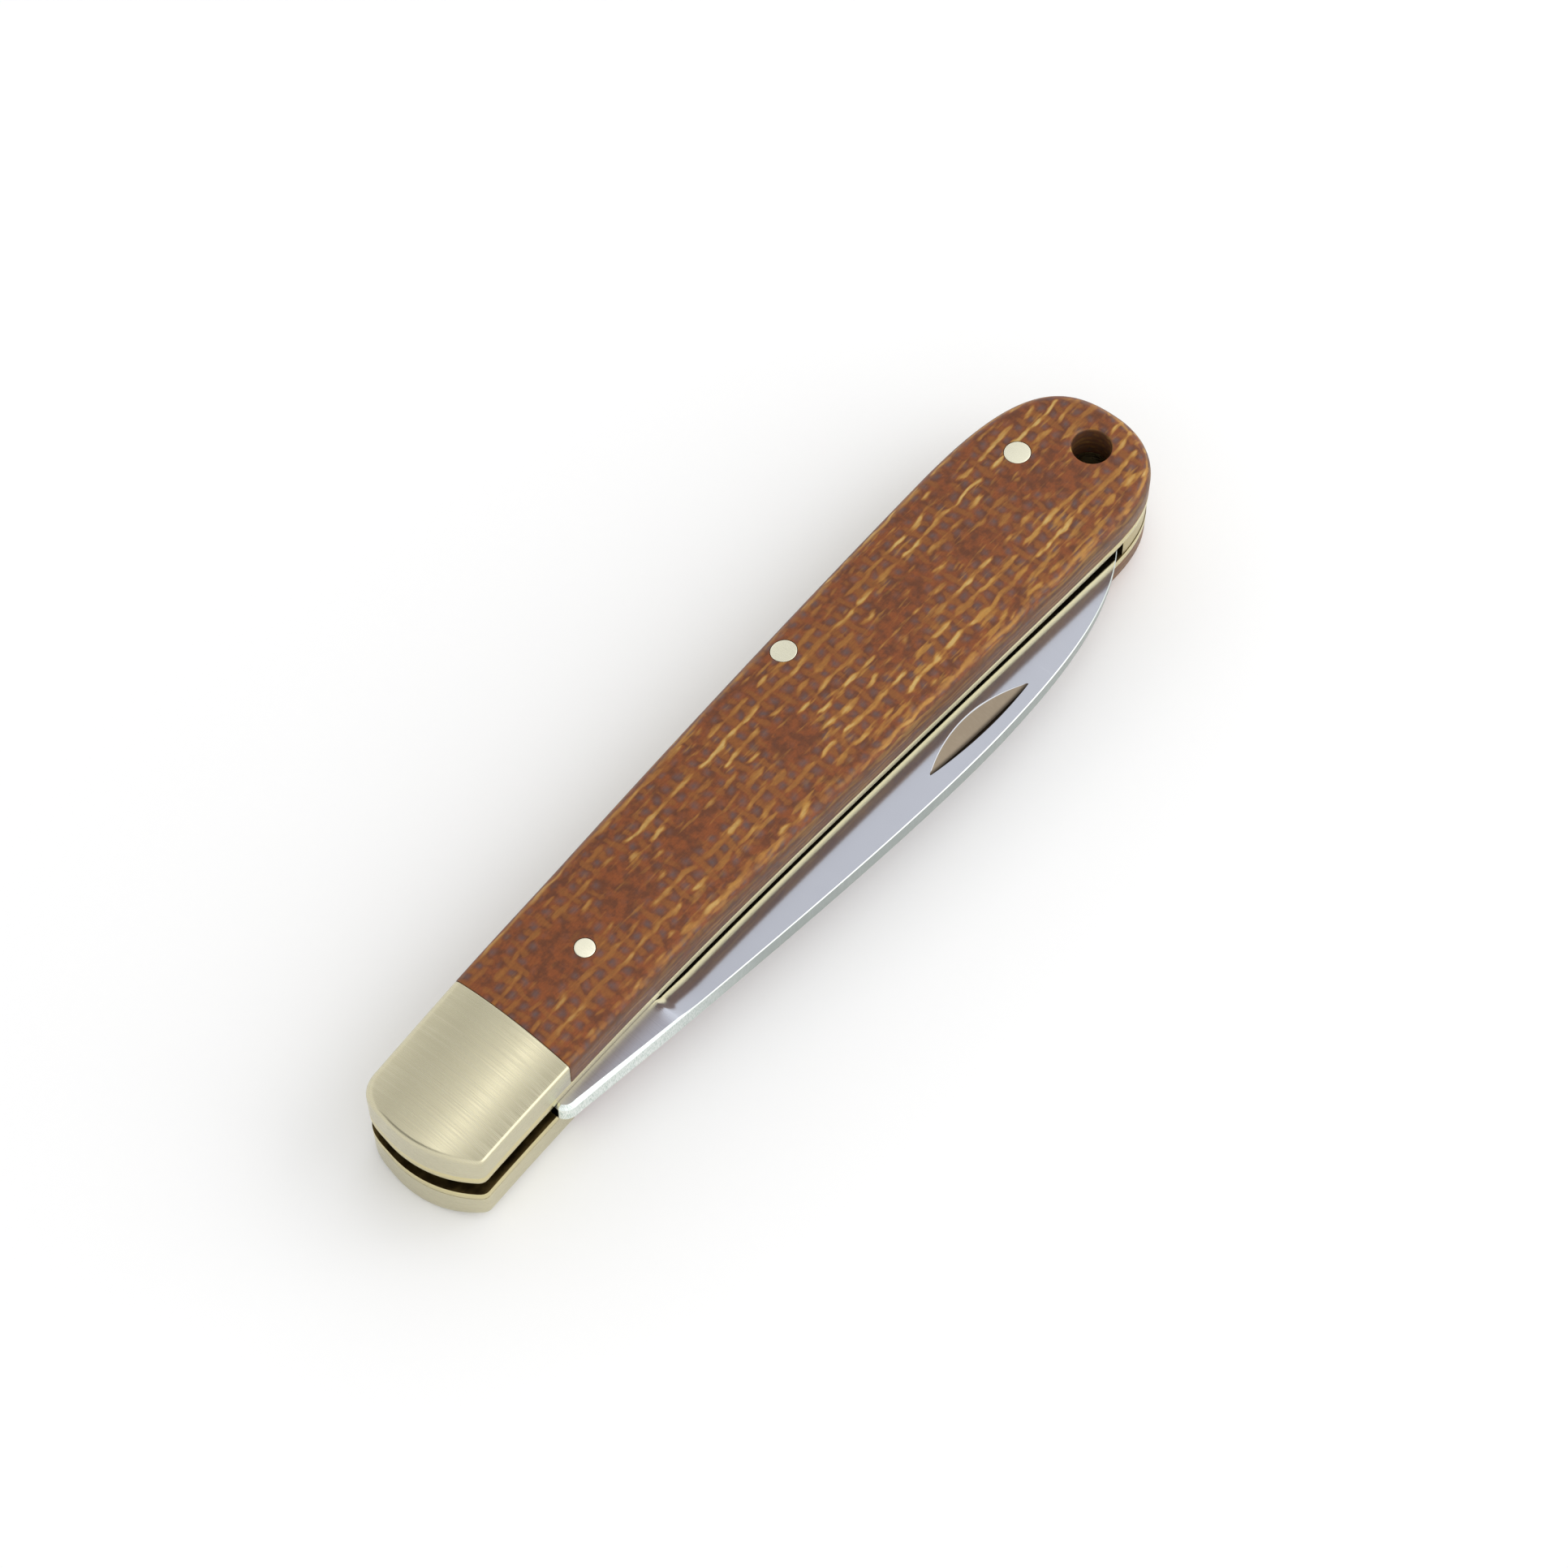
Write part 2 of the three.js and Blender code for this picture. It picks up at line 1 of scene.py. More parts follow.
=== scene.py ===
import json
import math
import bpy
import bmesh
import numpy as np
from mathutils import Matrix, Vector


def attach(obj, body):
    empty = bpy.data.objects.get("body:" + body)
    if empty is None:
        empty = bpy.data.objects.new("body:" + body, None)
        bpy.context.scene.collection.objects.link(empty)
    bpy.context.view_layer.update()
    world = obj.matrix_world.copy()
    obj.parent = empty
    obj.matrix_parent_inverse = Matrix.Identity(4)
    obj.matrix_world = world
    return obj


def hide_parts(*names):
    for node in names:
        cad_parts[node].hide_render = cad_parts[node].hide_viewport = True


# A closed slip-joint pocket knife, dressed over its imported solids. Lengths are in millimetres about the
# blade's pivot: x runs towards the butt, y towards the back, and z = 0 is the middle of the blade's slot.

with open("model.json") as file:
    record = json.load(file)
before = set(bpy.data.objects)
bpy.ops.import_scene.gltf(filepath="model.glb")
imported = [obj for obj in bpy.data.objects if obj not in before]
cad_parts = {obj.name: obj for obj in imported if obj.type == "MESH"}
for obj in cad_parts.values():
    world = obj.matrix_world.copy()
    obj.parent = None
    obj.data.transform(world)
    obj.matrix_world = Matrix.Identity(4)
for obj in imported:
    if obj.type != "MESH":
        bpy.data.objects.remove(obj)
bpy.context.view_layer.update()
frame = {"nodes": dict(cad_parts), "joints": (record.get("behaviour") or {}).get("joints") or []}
pivot = np.array(frame["joints"][0]["pos_m"])
mm = 0.001

handle = dict(
    length=108.6, noseReach=7.9, bolsterLength=15.75, crownLine=0.5, noseRadius=11.8, cornerRadius=0.45,
    bellyAtNose=7.7, bellyWaist=6.5, bellySwell=9.1, bellyAtButt=10.1,
    backAtNose=6.65, backRise=8.35, backSwell=9.3, backAtButt=9.5, backStartRun=1.2,
    buttRunBelly=10.6, buttRunBack=18.6, buttBellyPull=1.4, buttBackPull=5.25, buttBackRise=2.75,
    buttMiddleDrop=0.8, buttBellyDip=0.4, buttBellyRise=0.3,
    noseTopRun=3.0, noseTopDrop=1.4, noseTopPull=0.68, turnPull=(0.6, 0.9),
    noseShoulder=2, shoulderPull=(0.2, 1.1),
    bladeStock=2.5, bladeClearance=0.025, linerStock=1.1, coverSide=3.15, crown=1.0, crownPower=2.2)

fineness = dict(side=500, butt=160, nose=50, noseArc=160, corner=40)
crownLine = handle["crownLine"]
buttX = handle["length"] - handle["noseReach"]
junctionX = handle["bolsterLength"] - handle["noseReach"]
gapHalf = handle["bladeStock"] / 2 + handle["bladeClearance"]
linerFace = gapHalf + handle["linerStock"]
topZ = linerFace + handle["coverSide"] + handle["crown"]


def smooth(t):  # 3t^2 - 2t^3 between 0 and 1
    t = np.clip(t, 0, 1)
    return t * t * (3 - 2 * t)


# A curve from the first point to the last, pulled by those between: for n + 1 points it is the sum of
# binomial(n, k) (1-t)^(n-k) t^k times point k.
def curve(steps, *points):
    t = np.linspace(0, 1, steps + 1)[:, None]
    n = len(points) - 1
    return sum(math.comb(n, k) * (1 - t) ** (n - k) * t ** k * np.array(point, float)
               for k, point in enumerate(points))


def lengthsAlong(points):
    steps = np.hypot(*np.diff(points[:, :2], axis=0).T)
    return np.concatenate([[0], np.cumsum(steps)])


def take(path, lengths):  # a path's columns at some lengths along it
    along = lengthsAlong(path)
    return np.stack([np.interp(lengths, along, path[:, k]) for k in range(path.shape[1])], 1)


def nosePoint(y):  # a circle of noseRadius whose front is noseReach ahead of the pivot
    centreX = handle["noseRadius"] - handle["noseReach"]
    return np.stack([centreX - np.sqrt(handle["noseRadius"] ** 2 - (y - crownLine) ** 2), y], -1)


bellyCorner = nosePoint(np.array(crownLine - handle["bellyAtNose"]))


# The long sides are cubics between the nose and the butt, pulled at thirds of their length.
def bellyCurve():
    start = bellyCorner + [handle["cornerRadius"], 0]
    end = np.array([buttX - handle["buttRunBelly"], crownLine - handle["bellyAtButt"]])
    third = (end[0] - start[0]) / 3
    waist = [start[0] + third, crownLine - handle["bellyWaist"]]
    swell = [end[0] - third, crownLine - handle["bellySwell"]]
    return curve(fineness["side"], start, waist, swell, end)


def backCurve():
    start = np.array([bellyCorner[0] + handle["backStartRun"], crownLine + handle["backAtNose"]])
    end = np.array([buttX - handle["buttRunBack"], crownLine + handle["backAtButt"]])
    third = (end[0] - start[0]) / 3
    swell = [end[0] - third, crownLine + handle["backSwell"]]
    rise = [start[0] + third, crownLine + handle["backRise"]]
    return curve(fineness["side"], end, swell, rise, start)


# The butt is two cubics that meet upright at the handle's end.
def buttCurve(start, end):
    middle = np.array([buttX, crownLine - handle["buttMiddleDrop"]])
    lowerPull = [buttX + handle["buttBellyPull"], start[1] - handle["buttBellyDip"]]
    lower = curve(fineness["butt"], start, lowerPull, [buttX, middle[1] - handle["buttBellyRise"]], middle)
    upperPull = [buttX - handle["buttBackPull"], end[1]]
    upper = curve(fineness["butt"], middle, [buttX, end[1] - handle["buttBackRise"]], upperPull, end)
    return np.vstack([lower[:-1], upper])


# From the back round the nose: a rounded corner, a short cubic, the nose's circle and the belly's corner.
def noseCurve(start):
    shoulder = nosePoint(np.array(crownLine + handle["noseShoulder"]))
    turn = start - [handle["noseTopRun"], handle["noseTopDrop"]]
    pull = start[0] + (turn[0] - start[0]) * handle["noseTopPull"]
    rounding = curve(fineness["nose"], start, [pull, start[1]], turn)
    front = curve(fineness["nose"], turn, turn - handle["turnPull"],
                  shoulder + handle["shoulderPull"], shoulder)
    arc = nosePoint(np.linspace(shoulder[1], bellyCorner[1] + handle["cornerRadius"], fineness["noseArc"]))
    turnIn = curve(fineness["corner"], arc[-1], bellyCorner, bellyCorner + [handle["cornerRadius"], 0])
    return np.vstack([rounding[:-1], front[:-1], arc[:-1], turnIn])


# The outline resampled evenly, then averaged with a Gaussian that is wider behind the bolster.
def soften(loop, spacing=0.08, nearNose=0.09, behind=1.0, fromX=3, run=12):
    closed = np.vstack([loop, loop[:1]])
    total = lengthsAlong(closed)[-1]
    count = int(total / spacing)
    even = take(closed, np.arange(count) * total / count)
    waves = np.fft.fftfreq(count, total / count)

    def averaged(width):
        keep = np.exp(-2 * (np.pi * waves * width) ** 2)[:, None]
        return np.fft.ifft(np.fft.fft(even, axis=0) * keep, axis=0).real

    share = smooth((even[:, :1] - fromX) / run)
    return averaged(nearNose) * (1 - share) + averaged(behind) * share


belly = bellyCurve()
back = backCurve()
nose = noseCurve(back[-1])
butt = buttCurve(belly[-1], back[0])
outline = soften(np.vstack([belly[:-1], butt[:-1], back[:-1], nose[:-1]]))


# Adds outward normals to a path: side 1 for one that has the body on its left, -1 on its right.
def withNormals(points, side):
    tangent = np.gradient(points, axis=0)
    tangent /= np.hypot(*tangent.T)[:, None]
    return np.hstack([points, side * np.stack([tangent[:, 1], -tangent[:, 0]], 1)])


# The outline's belly side and back side, each from the nose's front to the butt's end.
def twoSides(loop):
    front = int(np.argmin(loop[:, 0]))
    rolled = np.roll(loop, -front, axis=0)
    end = int(np.argmax(rolled[:, 0]))
    around = np.vstack([rolled[-3:], rolled, rolled[:3]])
    whole = withNormals(around, 1)[3:-3]
    bellySide = whole[:end + 1]
    backSide = np.vstack([whole[end:], whole[:1]])[::-1]
    return bellySide, backSide


bellySide, backSide = twoSides(outline)


def lengthAtX(path, x):  # where a path that runs towards +x reaches x
    rising = np.maximum.accumulate(path[:, 0])
    return float(np.interp(x, rising, lengthsAlong(path)))


def halfWidth(x, y):  # from the crown's line to the outline, clamped beyond the long sides' ends
    bellyHalf = np.interp(x, belly[:, 0], crownLine - belly[:, 1])
    backHalf = np.interp(x, back[::-1, 0], back[::-1, 1] - crownLine)
    return np.where(y < crownLine, bellyHalf, backHalf)


# Crown of the covers, its fall and its slope: crown times the share of the half width to crownPower.
def crownAt(x, y):
    half = halfWidth(x, y)
    share = np.abs(y - crownLine) / half
    power = handle["crownPower"]
    return handle["crown"] * share ** power, handle["crown"] * power * share ** (power - 1) / half


# One side of a cover, up from the liner: an upright wall, then a round edge that ends at the crown's slope.
def coverSide(rail, radius, seamInset, wallRows=5, roundRows=12):
    slope = crownAt(rail[:, 0], rail[:, 1])[1]
    turn = np.pi / 2 - np.arctan(slope * np.abs(rail[:, 3]))
    roundEnd = rail[:, :2] - rail[:, 2:] * (radius * (1 - np.cos(turn)))[:, None]
    roundTop = topZ - crownAt(roundEnd[:, 0], roundEnd[:, 1])[0]
    angles = turn[:, None] * np.linspace(0, 1, roundRows + 1)
    inset = radius[:, None] * (1 - np.cos(angles)) + seamInset[:, None] * np.cos(angles)
    height = roundTop[:, None] - radius[:, None] * (np.sin(turn)[:, None] - np.sin(angles))
    height = height - seamInset[:, None] * np.sin(angles)
    wall = linerFace + (height[:, :1] - linerFace) * np.linspace(0, 1, wallRows + 1)[None, :-1]
    inset = np.hstack([np.repeat(inset[:, :1], wallRows, 1), inset])
    height = np.hstack([wall, height])
    place = rail[:, None, :2] - rail[:, None, 2:] * inset[..., None]
    return np.dstack([place, height])


# Straight rows between two rows of points, with a height of their own.
def between(first, last, count, height):
    share = np.linspace(0, 1, count + 2)[1:-1][None, :, None]
    place = first[:, None, :2] + (last[:, None, :2] - first[:, None, :2]) * share
    return np.dstack([place, height(place[..., 0], place[..., 1])])


# Closed rings of a cover: up one side, over the crown, down the other side and back along the liner.
def coverRings(near, far, nearRadius, farRadius, seamInset, across=60, beneath=8):
    left = coverSide(near, nearRadius, seamInset)
    right = coverSide(far, farRadius, seamInset)

    def crowned(x, y):
        return topZ - crownAt(x, y)[0] - seamInset[:, None]

    top = between(left[:, -1], right[:, -1], across, crowned)
    under = between(right[:, 0], left[:, 0], beneath, lambda x, y: np.full_like(x, linerFace))
    return np.concatenate([left, top, right[:, ::-1], under], 1)


# A plate's edge from low to high as (inset, height) pairs. It is rounded if middle is 0.3, flat if 0.7.
def brokenEdges(low, high, edge, middle):
    return [(edge, low), (edge * 0.3, low + edge * middle), (0, low + edge),
            (0, high - edge), (edge * 0.3, high - edge * middle), (edge, high)]


# A flat plate between two rails. The profile lists (inset, height) up its edge.
def plateRings(near, far, profile, across=12):
    inset, height = np.array(profile, float).T

    def side(rail):
        place = rail[:, None, :2] - rail[:, None, 2:] * inset[None, :, None]
        return np.dstack([place, np.broadcast_to(height, place.shape[:2])])

    left, right = side(near), side(far)
    top = between(left[:, -1], right[:, -1], across, lambda x, y: np.full_like(x, height[-1]))
    under = between(right[:, 0], left[:, 0], across, lambda x, y: np.full_like(x, height[0]))
    return np.concatenate([left, top, right[:, ::-1], under], 1)


# Faces between neighbouring closed rings, and across the first or last ring where it is open.
def ringFaces(rings, capFirst=False, capLast=False):
    count, size = rings.shape[:2]
    index = np.arange(count * size).reshape(count, size)
    ahead = np.roll(index, -1, axis=1)
    quads = np.stack([index[:-1], ahead[:-1], ahead[1:], index[1:]], -1).reshape(-1, 4)
    faces = quads.tolist()
    if capFirst:
        faces.append(index[0][::-1].tolist())
    if capLast:
        faces.append(index[-1].tolist())
    return faces


def buildMesh(name, rings, capFirst=False, capLast=False, materials=()):
    mesh = bpy.data.meshes.new(name)
    points = rings.reshape(-1, 3) * mm + pivot
    mesh.from_pydata(points.tolist(), [], ringFaces(rings, capFirst, capLast))
    for material in materials:
        mesh.materials.append(material)
    shaped = bmesh.new()
    shaped.from_mesh(mesh)
    bmesh.ops.remove_doubles(shaped, verts=shaped.verts, dist=1e-7)
    bmesh.ops.dissolve_degenerate(shaped, edges=shaped.edges, dist=1e-8)
    bmesh.ops.recalc_face_normals(shaped, faces=shaped.faces)
    shaped.to_mesh(mesh)
    shaped.free()
    piece = bpy.data.objects.new(name, mesh)
    bpy.context.scene.collection.objects.link(piece)
    return piece


# A body turned about an upright axis: radius and height pairs up its side.
def turnedRings(place, profile, facets=96):
    radius, height = np.array(profile, float).T
    angle = np.linspace(0, 2 * np.pi, facets, endpoint=False)
    x = place[0] + radius[:, None] * np.cos(angle)
    y = place[1] + radius[:, None] * np.sin(angle)
    return np.dstack([x, y, np.broadcast_to(height[:, None], x.shape)])


def rodRings(place, radius, low, high):
    return turnedRings(place, [(radius, low), (radius, high)])


def carve(piece, cutters, materials):  # the cut faces get the last material
    for rings in cutters:
        cutter = buildMesh("cutter", rings, True, True, materials)
        cutFaces = cutter.data.polygons
        cutFaces.foreach_set("material_index", [len(materials) - 1] * len(cutFaces))
        step = piece.modifiers.new("carve", "BOOLEAN")
        step.operation = "DIFFERENCE"
        step.solver = "MANIFOLD"
        step.object = cutter
        ready = piece.evaluated_get(bpy.context.evaluated_depsgraph_get())
        carved = bpy.data.meshes.new_from_object(ready)
        piece.modifiers.clear()
        spare = piece.data
        piece.data = carved
        bpy.data.meshes.remove(spare)
        bpy.data.meshes.remove(cutter.data)


def readMesh(items, attribute, width=1):  # whole numbers, or three measures each for a width of 3
    values = np.zeros(len(items) * width, np.int32 if width == 1 else float)
    items.foreach_get(attribute, values)
    return values.reshape(-1, width) if width > 1 else values


# Lays the brushing direction into a UV map: u crosses the grooves. On upright faces u is the height if
# sideGrain is along the handle, or stays x where the grooves cross the edge.
def brushing(mesh, sideGrain, uprightBelow=0.55):
    points = readMesh(mesh.vertices, "co", 3)[readMesh(mesh.loops, "vertex_index")] / mm
    lookingUp = np.abs(readMesh(mesh.polygons, "normal", 3)[:, 2])
    upright = np.repeat(lookingUp < uprightBelow, readMesh(mesh.polygons, "loop_total"))
    u = points[:, 0]
    v = np.where(upright, points[:, 2], points[:, 1])
    if sideGrain == "along":
        u = np.where(upright, points[:, 2], points[:, 0])
        v = np.where(upright, points[:, 0] + points[:, 1], points[:, 1])
    layer = mesh.uv_layers.new(name="brushing")
    layer.data.foreach_set("uv", np.stack([u, v], 1).ravel())


def dress(piece, body, nodes, sharp=32, sideGrain="along"):
    mesh = piece.data
    mesh.polygons.foreach_set("use_smooth", [True] * len(mesh.polygons))
    mesh.set_sharp_from_angle(angle=math.radians(sharp))
    brushing(mesh, sideGrain)
    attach(piece, body)
    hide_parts(*nodes)


def faceCentres(piece):
    return (readMesh(piece.data.polygons, "center", 3) - pivot) / mm


def faceNormals(piece):
    return readMesh(piece.data.polygons, "normal", 3)


def giveSecond(piece, chosen):  # the chosen faces get the piece's second material
    piece.data.polygons.foreach_set("material_index", chosen.astype(np.int32))


def mirrored(rings):  # the same shape on the lower side
    return rings * [1, 1, -1]


# A piece on the upper side and its twin below. Faces nearer to the middle than insideTo get its second
# material.
def makePair(name, packed, rings, materials, caps=(True, False), holes=(), insideTo=None):
    for side, shape in (("top", rings), ("bottom", mirrored(rings))):
        piece = buildMesh(f"{name}_{side}", shape, *caps, materials)
        carve(piece, holes, materials[:1])
        if insideTo:
            giveSecond(piece, np.abs(faceCentres(piece)[:, 2]) < insideTo)
        dress(piece, "handle", [f"{packed}_{side}"])
    print(f"{name} pair made")


# Materials. Every pattern reads object coordinates, turned into millimetres about the pivot. All nodes go
# into the tree that was started or reopened last.
drawing = dict(tree=None)


def startTree(owner):
    owner.use_nodes = True
    owner.node_tree.nodes.clear()
    drawing["tree"] = owner.node_tree


def newMaterial(name):
    material = bpy.data.materials.new(name)
    startTree(material)
    surface = node("ShaderNodeBsdfPrincipled")
    node("ShaderNodeOutputMaterial", {0: surface.outputs[0]})
    return material, surface


def reopen(material):  # its surface, and what colours it so far
    drawing["tree"] = material.node_tree
    surface = material.node_tree.nodes["Principled BSDF"]
    return surface, surface.inputs["Base Color"].links[0].from_socket


def fill(made, inputs):  # each input gets a link or a fixed value
    for key, value in inputs.items():
        if isinstance(value, bpy.types.NodeSocket):
            drawing["tree"].links.new(value, made.inputs[key])
        else:
            made.inputs[key].default_value = value


def node(kind, inputs=(), **settings):
    made = drawing["tree"].nodes.new(kind)
    for key, value in settings.items():
        setattr(made, key, value)
    fill(made, dict(inputs))
    return made


def maths(operation, *values):
    return node("ShaderNodeMath", dict(enumerate(values)), operation=operation).outputs[0]


def add(total, *others):
    for other in others:
        total = maths("ADD", total, other)
    return total


def times(product, *others):
    for other in others:
        product = maths("MULTIPLY", product, other)
    return product


def minus(value, other):
    return maths("SUBTRACT", value, other)


def sizeOf(value):  # a value without its sign
    return maths("ABSOLUTE", value)


def parts(vector):  # its x, y and z
    return node("ShaderNodeSeparateXYZ", {0: vector}).outputs[:3]


def place():  # object coordinates in millimetres about the pivot
    coords = node("ShaderNodeTexCoord").outputs["Object"]
    settings = {"Vector": coords, "Location": tuple(-pivot / mm), "Scale": (1 / mm,) * 3}
    return node("ShaderNodeMapping", settings).outputs[0]


def noise(point, scale=1.0, detail=2.0, rough=0.5):  # three numbers for the scale stretch the pattern
    if isinstance(scale, tuple):
        point = node("ShaderNodeVectorMath", {0: point, 1: scale}, operation="MULTIPLY").outputs[0]
        scale = 1.0
    settings = {"Vector": point, "Scale": scale, "Detail": detail, "Roughness": rough}
    return node("ShaderNodeTexNoise", settings).outputs[0]


def remap(value, low, high, toLow=0.0, toHigh=1.0):  # eased at both ends, as 3t^2 - 2t^3
    settings = {0: value, 1: low, 2: high, 3: toLow, 4: toHigh}
    return node("ShaderNodeMapRange", settings, interpolation_type="SMOOTHSTEP").outputs[0]


def mixColour(share, first, second):
    def full(colour):
        return (*colour, 1.0) if isinstance(colour, tuple) and len(colour) == 3 else colour
    made = node("ShaderNodeMix", {0: share, 6: full(first), 7: full(second)}, data_type="RGBA")
    return made.outputs[2]


def mixValue(share, first, second):
    return node("ShaderNodeMix", {0: share, 2: first, 3: second}, data_type="FLOAT").outputs[0]


def bump(height, depth):  # depth in millimetres
    return node("ShaderNodeBump", {"Height": height, "Distance": depth * mm, "Strength": 1.0}).outputs[0]


def facingWays():  # the face's own normal, as x, y and z
    return parts(node("ShaderNodeTexCoord").outputs["Normal"])


def upward():  # how far a face looks up or down
    return sizeOf(facingWays()[2])


def facing(uprightBelow=0.45, flatAbove=0.75):  # 1 on faces that look up or down, 0 on upright ones
    return remap(upward(), uprightBelow, flatAbove)


# Brushed metal: fine grooves across the handle on the faces, and sideGrain on upright edges. Its colour
# wanders between two tones. At the tang it may have other colours and another roughness, which end
# between startX and endX.
def brushedMetal(name, colour, deepColour, roughness, spread, grain, sideGrain, depth, blotch=0.12,
                 anisotropic=0.7, atTang=None, finer=4, patinaScale=0.35):
    material, surface = newMaterial(name)
    point = place()
    flat = facing()

    def grooved(closeness, detail):
        side, face = (tuple(closeness * s for s in scale) for scale in (sideGrain, grain))
        return mixValue(flat, noise(point, side, detail), noise(point, face, detail))

    coarse, fine = grooved(1, 3.0), grooved(finer, 2.0)
    grooves = mixValue(0.5, coarse, fine)
    patina = noise(point, patinaScale, 4.0, 0.6)
    tone = add(times(patina, blotch * 4), times(coarse, 0.5))
    tint = mixColour(remap(tone, 0.25 + blotch, 0.6 + blotch * 3), deepColour, colour)
    rough = remap(grooves, 0.3, 0.7, roughness - spread, roughness + spread)
    if atTang:
        share = remap(parts(point)[0], atTang["startX"], atTang["endX"], 1.0, 0.0)
        # for the spine, the near-white tick colour stands for a painted reflection of the white sheet
        ticks = mixColour(remap(fine, 0.36, 0.56), *atTang["colours"])
        tint = mixColour(share, tint, ticks)
        rough = mixValue(share, rough, atTang["roughness"])
    tangent = node("ShaderNodeTangent", direction_type="UV_MAP", uv_map="brushing").outputs[0]
    fill(surface, {"Base Color": tint, "Metallic": 1.0, "Roughness": rough, "Anisotropic": anisotropic,
                   "Tangent": tangent, "Normal": bump(grooves, depth)})
    return material


# Burlap laminate, worked out as a solid: layers of plain-woven cloth in resin. In each layer the weft runs
# along x and the warp along y. A thread rides up and down as a cosine over and under the other set, and
# it shows where the surface cuts it: golden at its core, fading into the resin at its skin.
burlap = dict(
    layer=0.66, weftPitch=1.70, warpPitch=1.80, lift=0.12, weftHalf=0.27, warpHalf=0.32, threadHeight=0.20,
    sag=0.9, drift=1.5, kink=0.15, layerShift=(0.93, 1.27),
    resin=(0.120, 0.035, 0.0115), redResin=(0.210, 0.056, 0.0125), cell=(0.118, 0.073, 0.068),
    skin=(0.235, 0.078, 0.0150), core=(0.40, 0.190, 0.034), bright=(0.52, 0.345, 0.115),
    warp=(0.230, 0.078, 0.0155), uprightTone=(0.080, 0.050, 0.032),
    lustreAtBolster=0.42, lustreBehind=1.2, lustreRun=48, roughness=(0.38, 0.50), specular=0.3, bump=0.008)


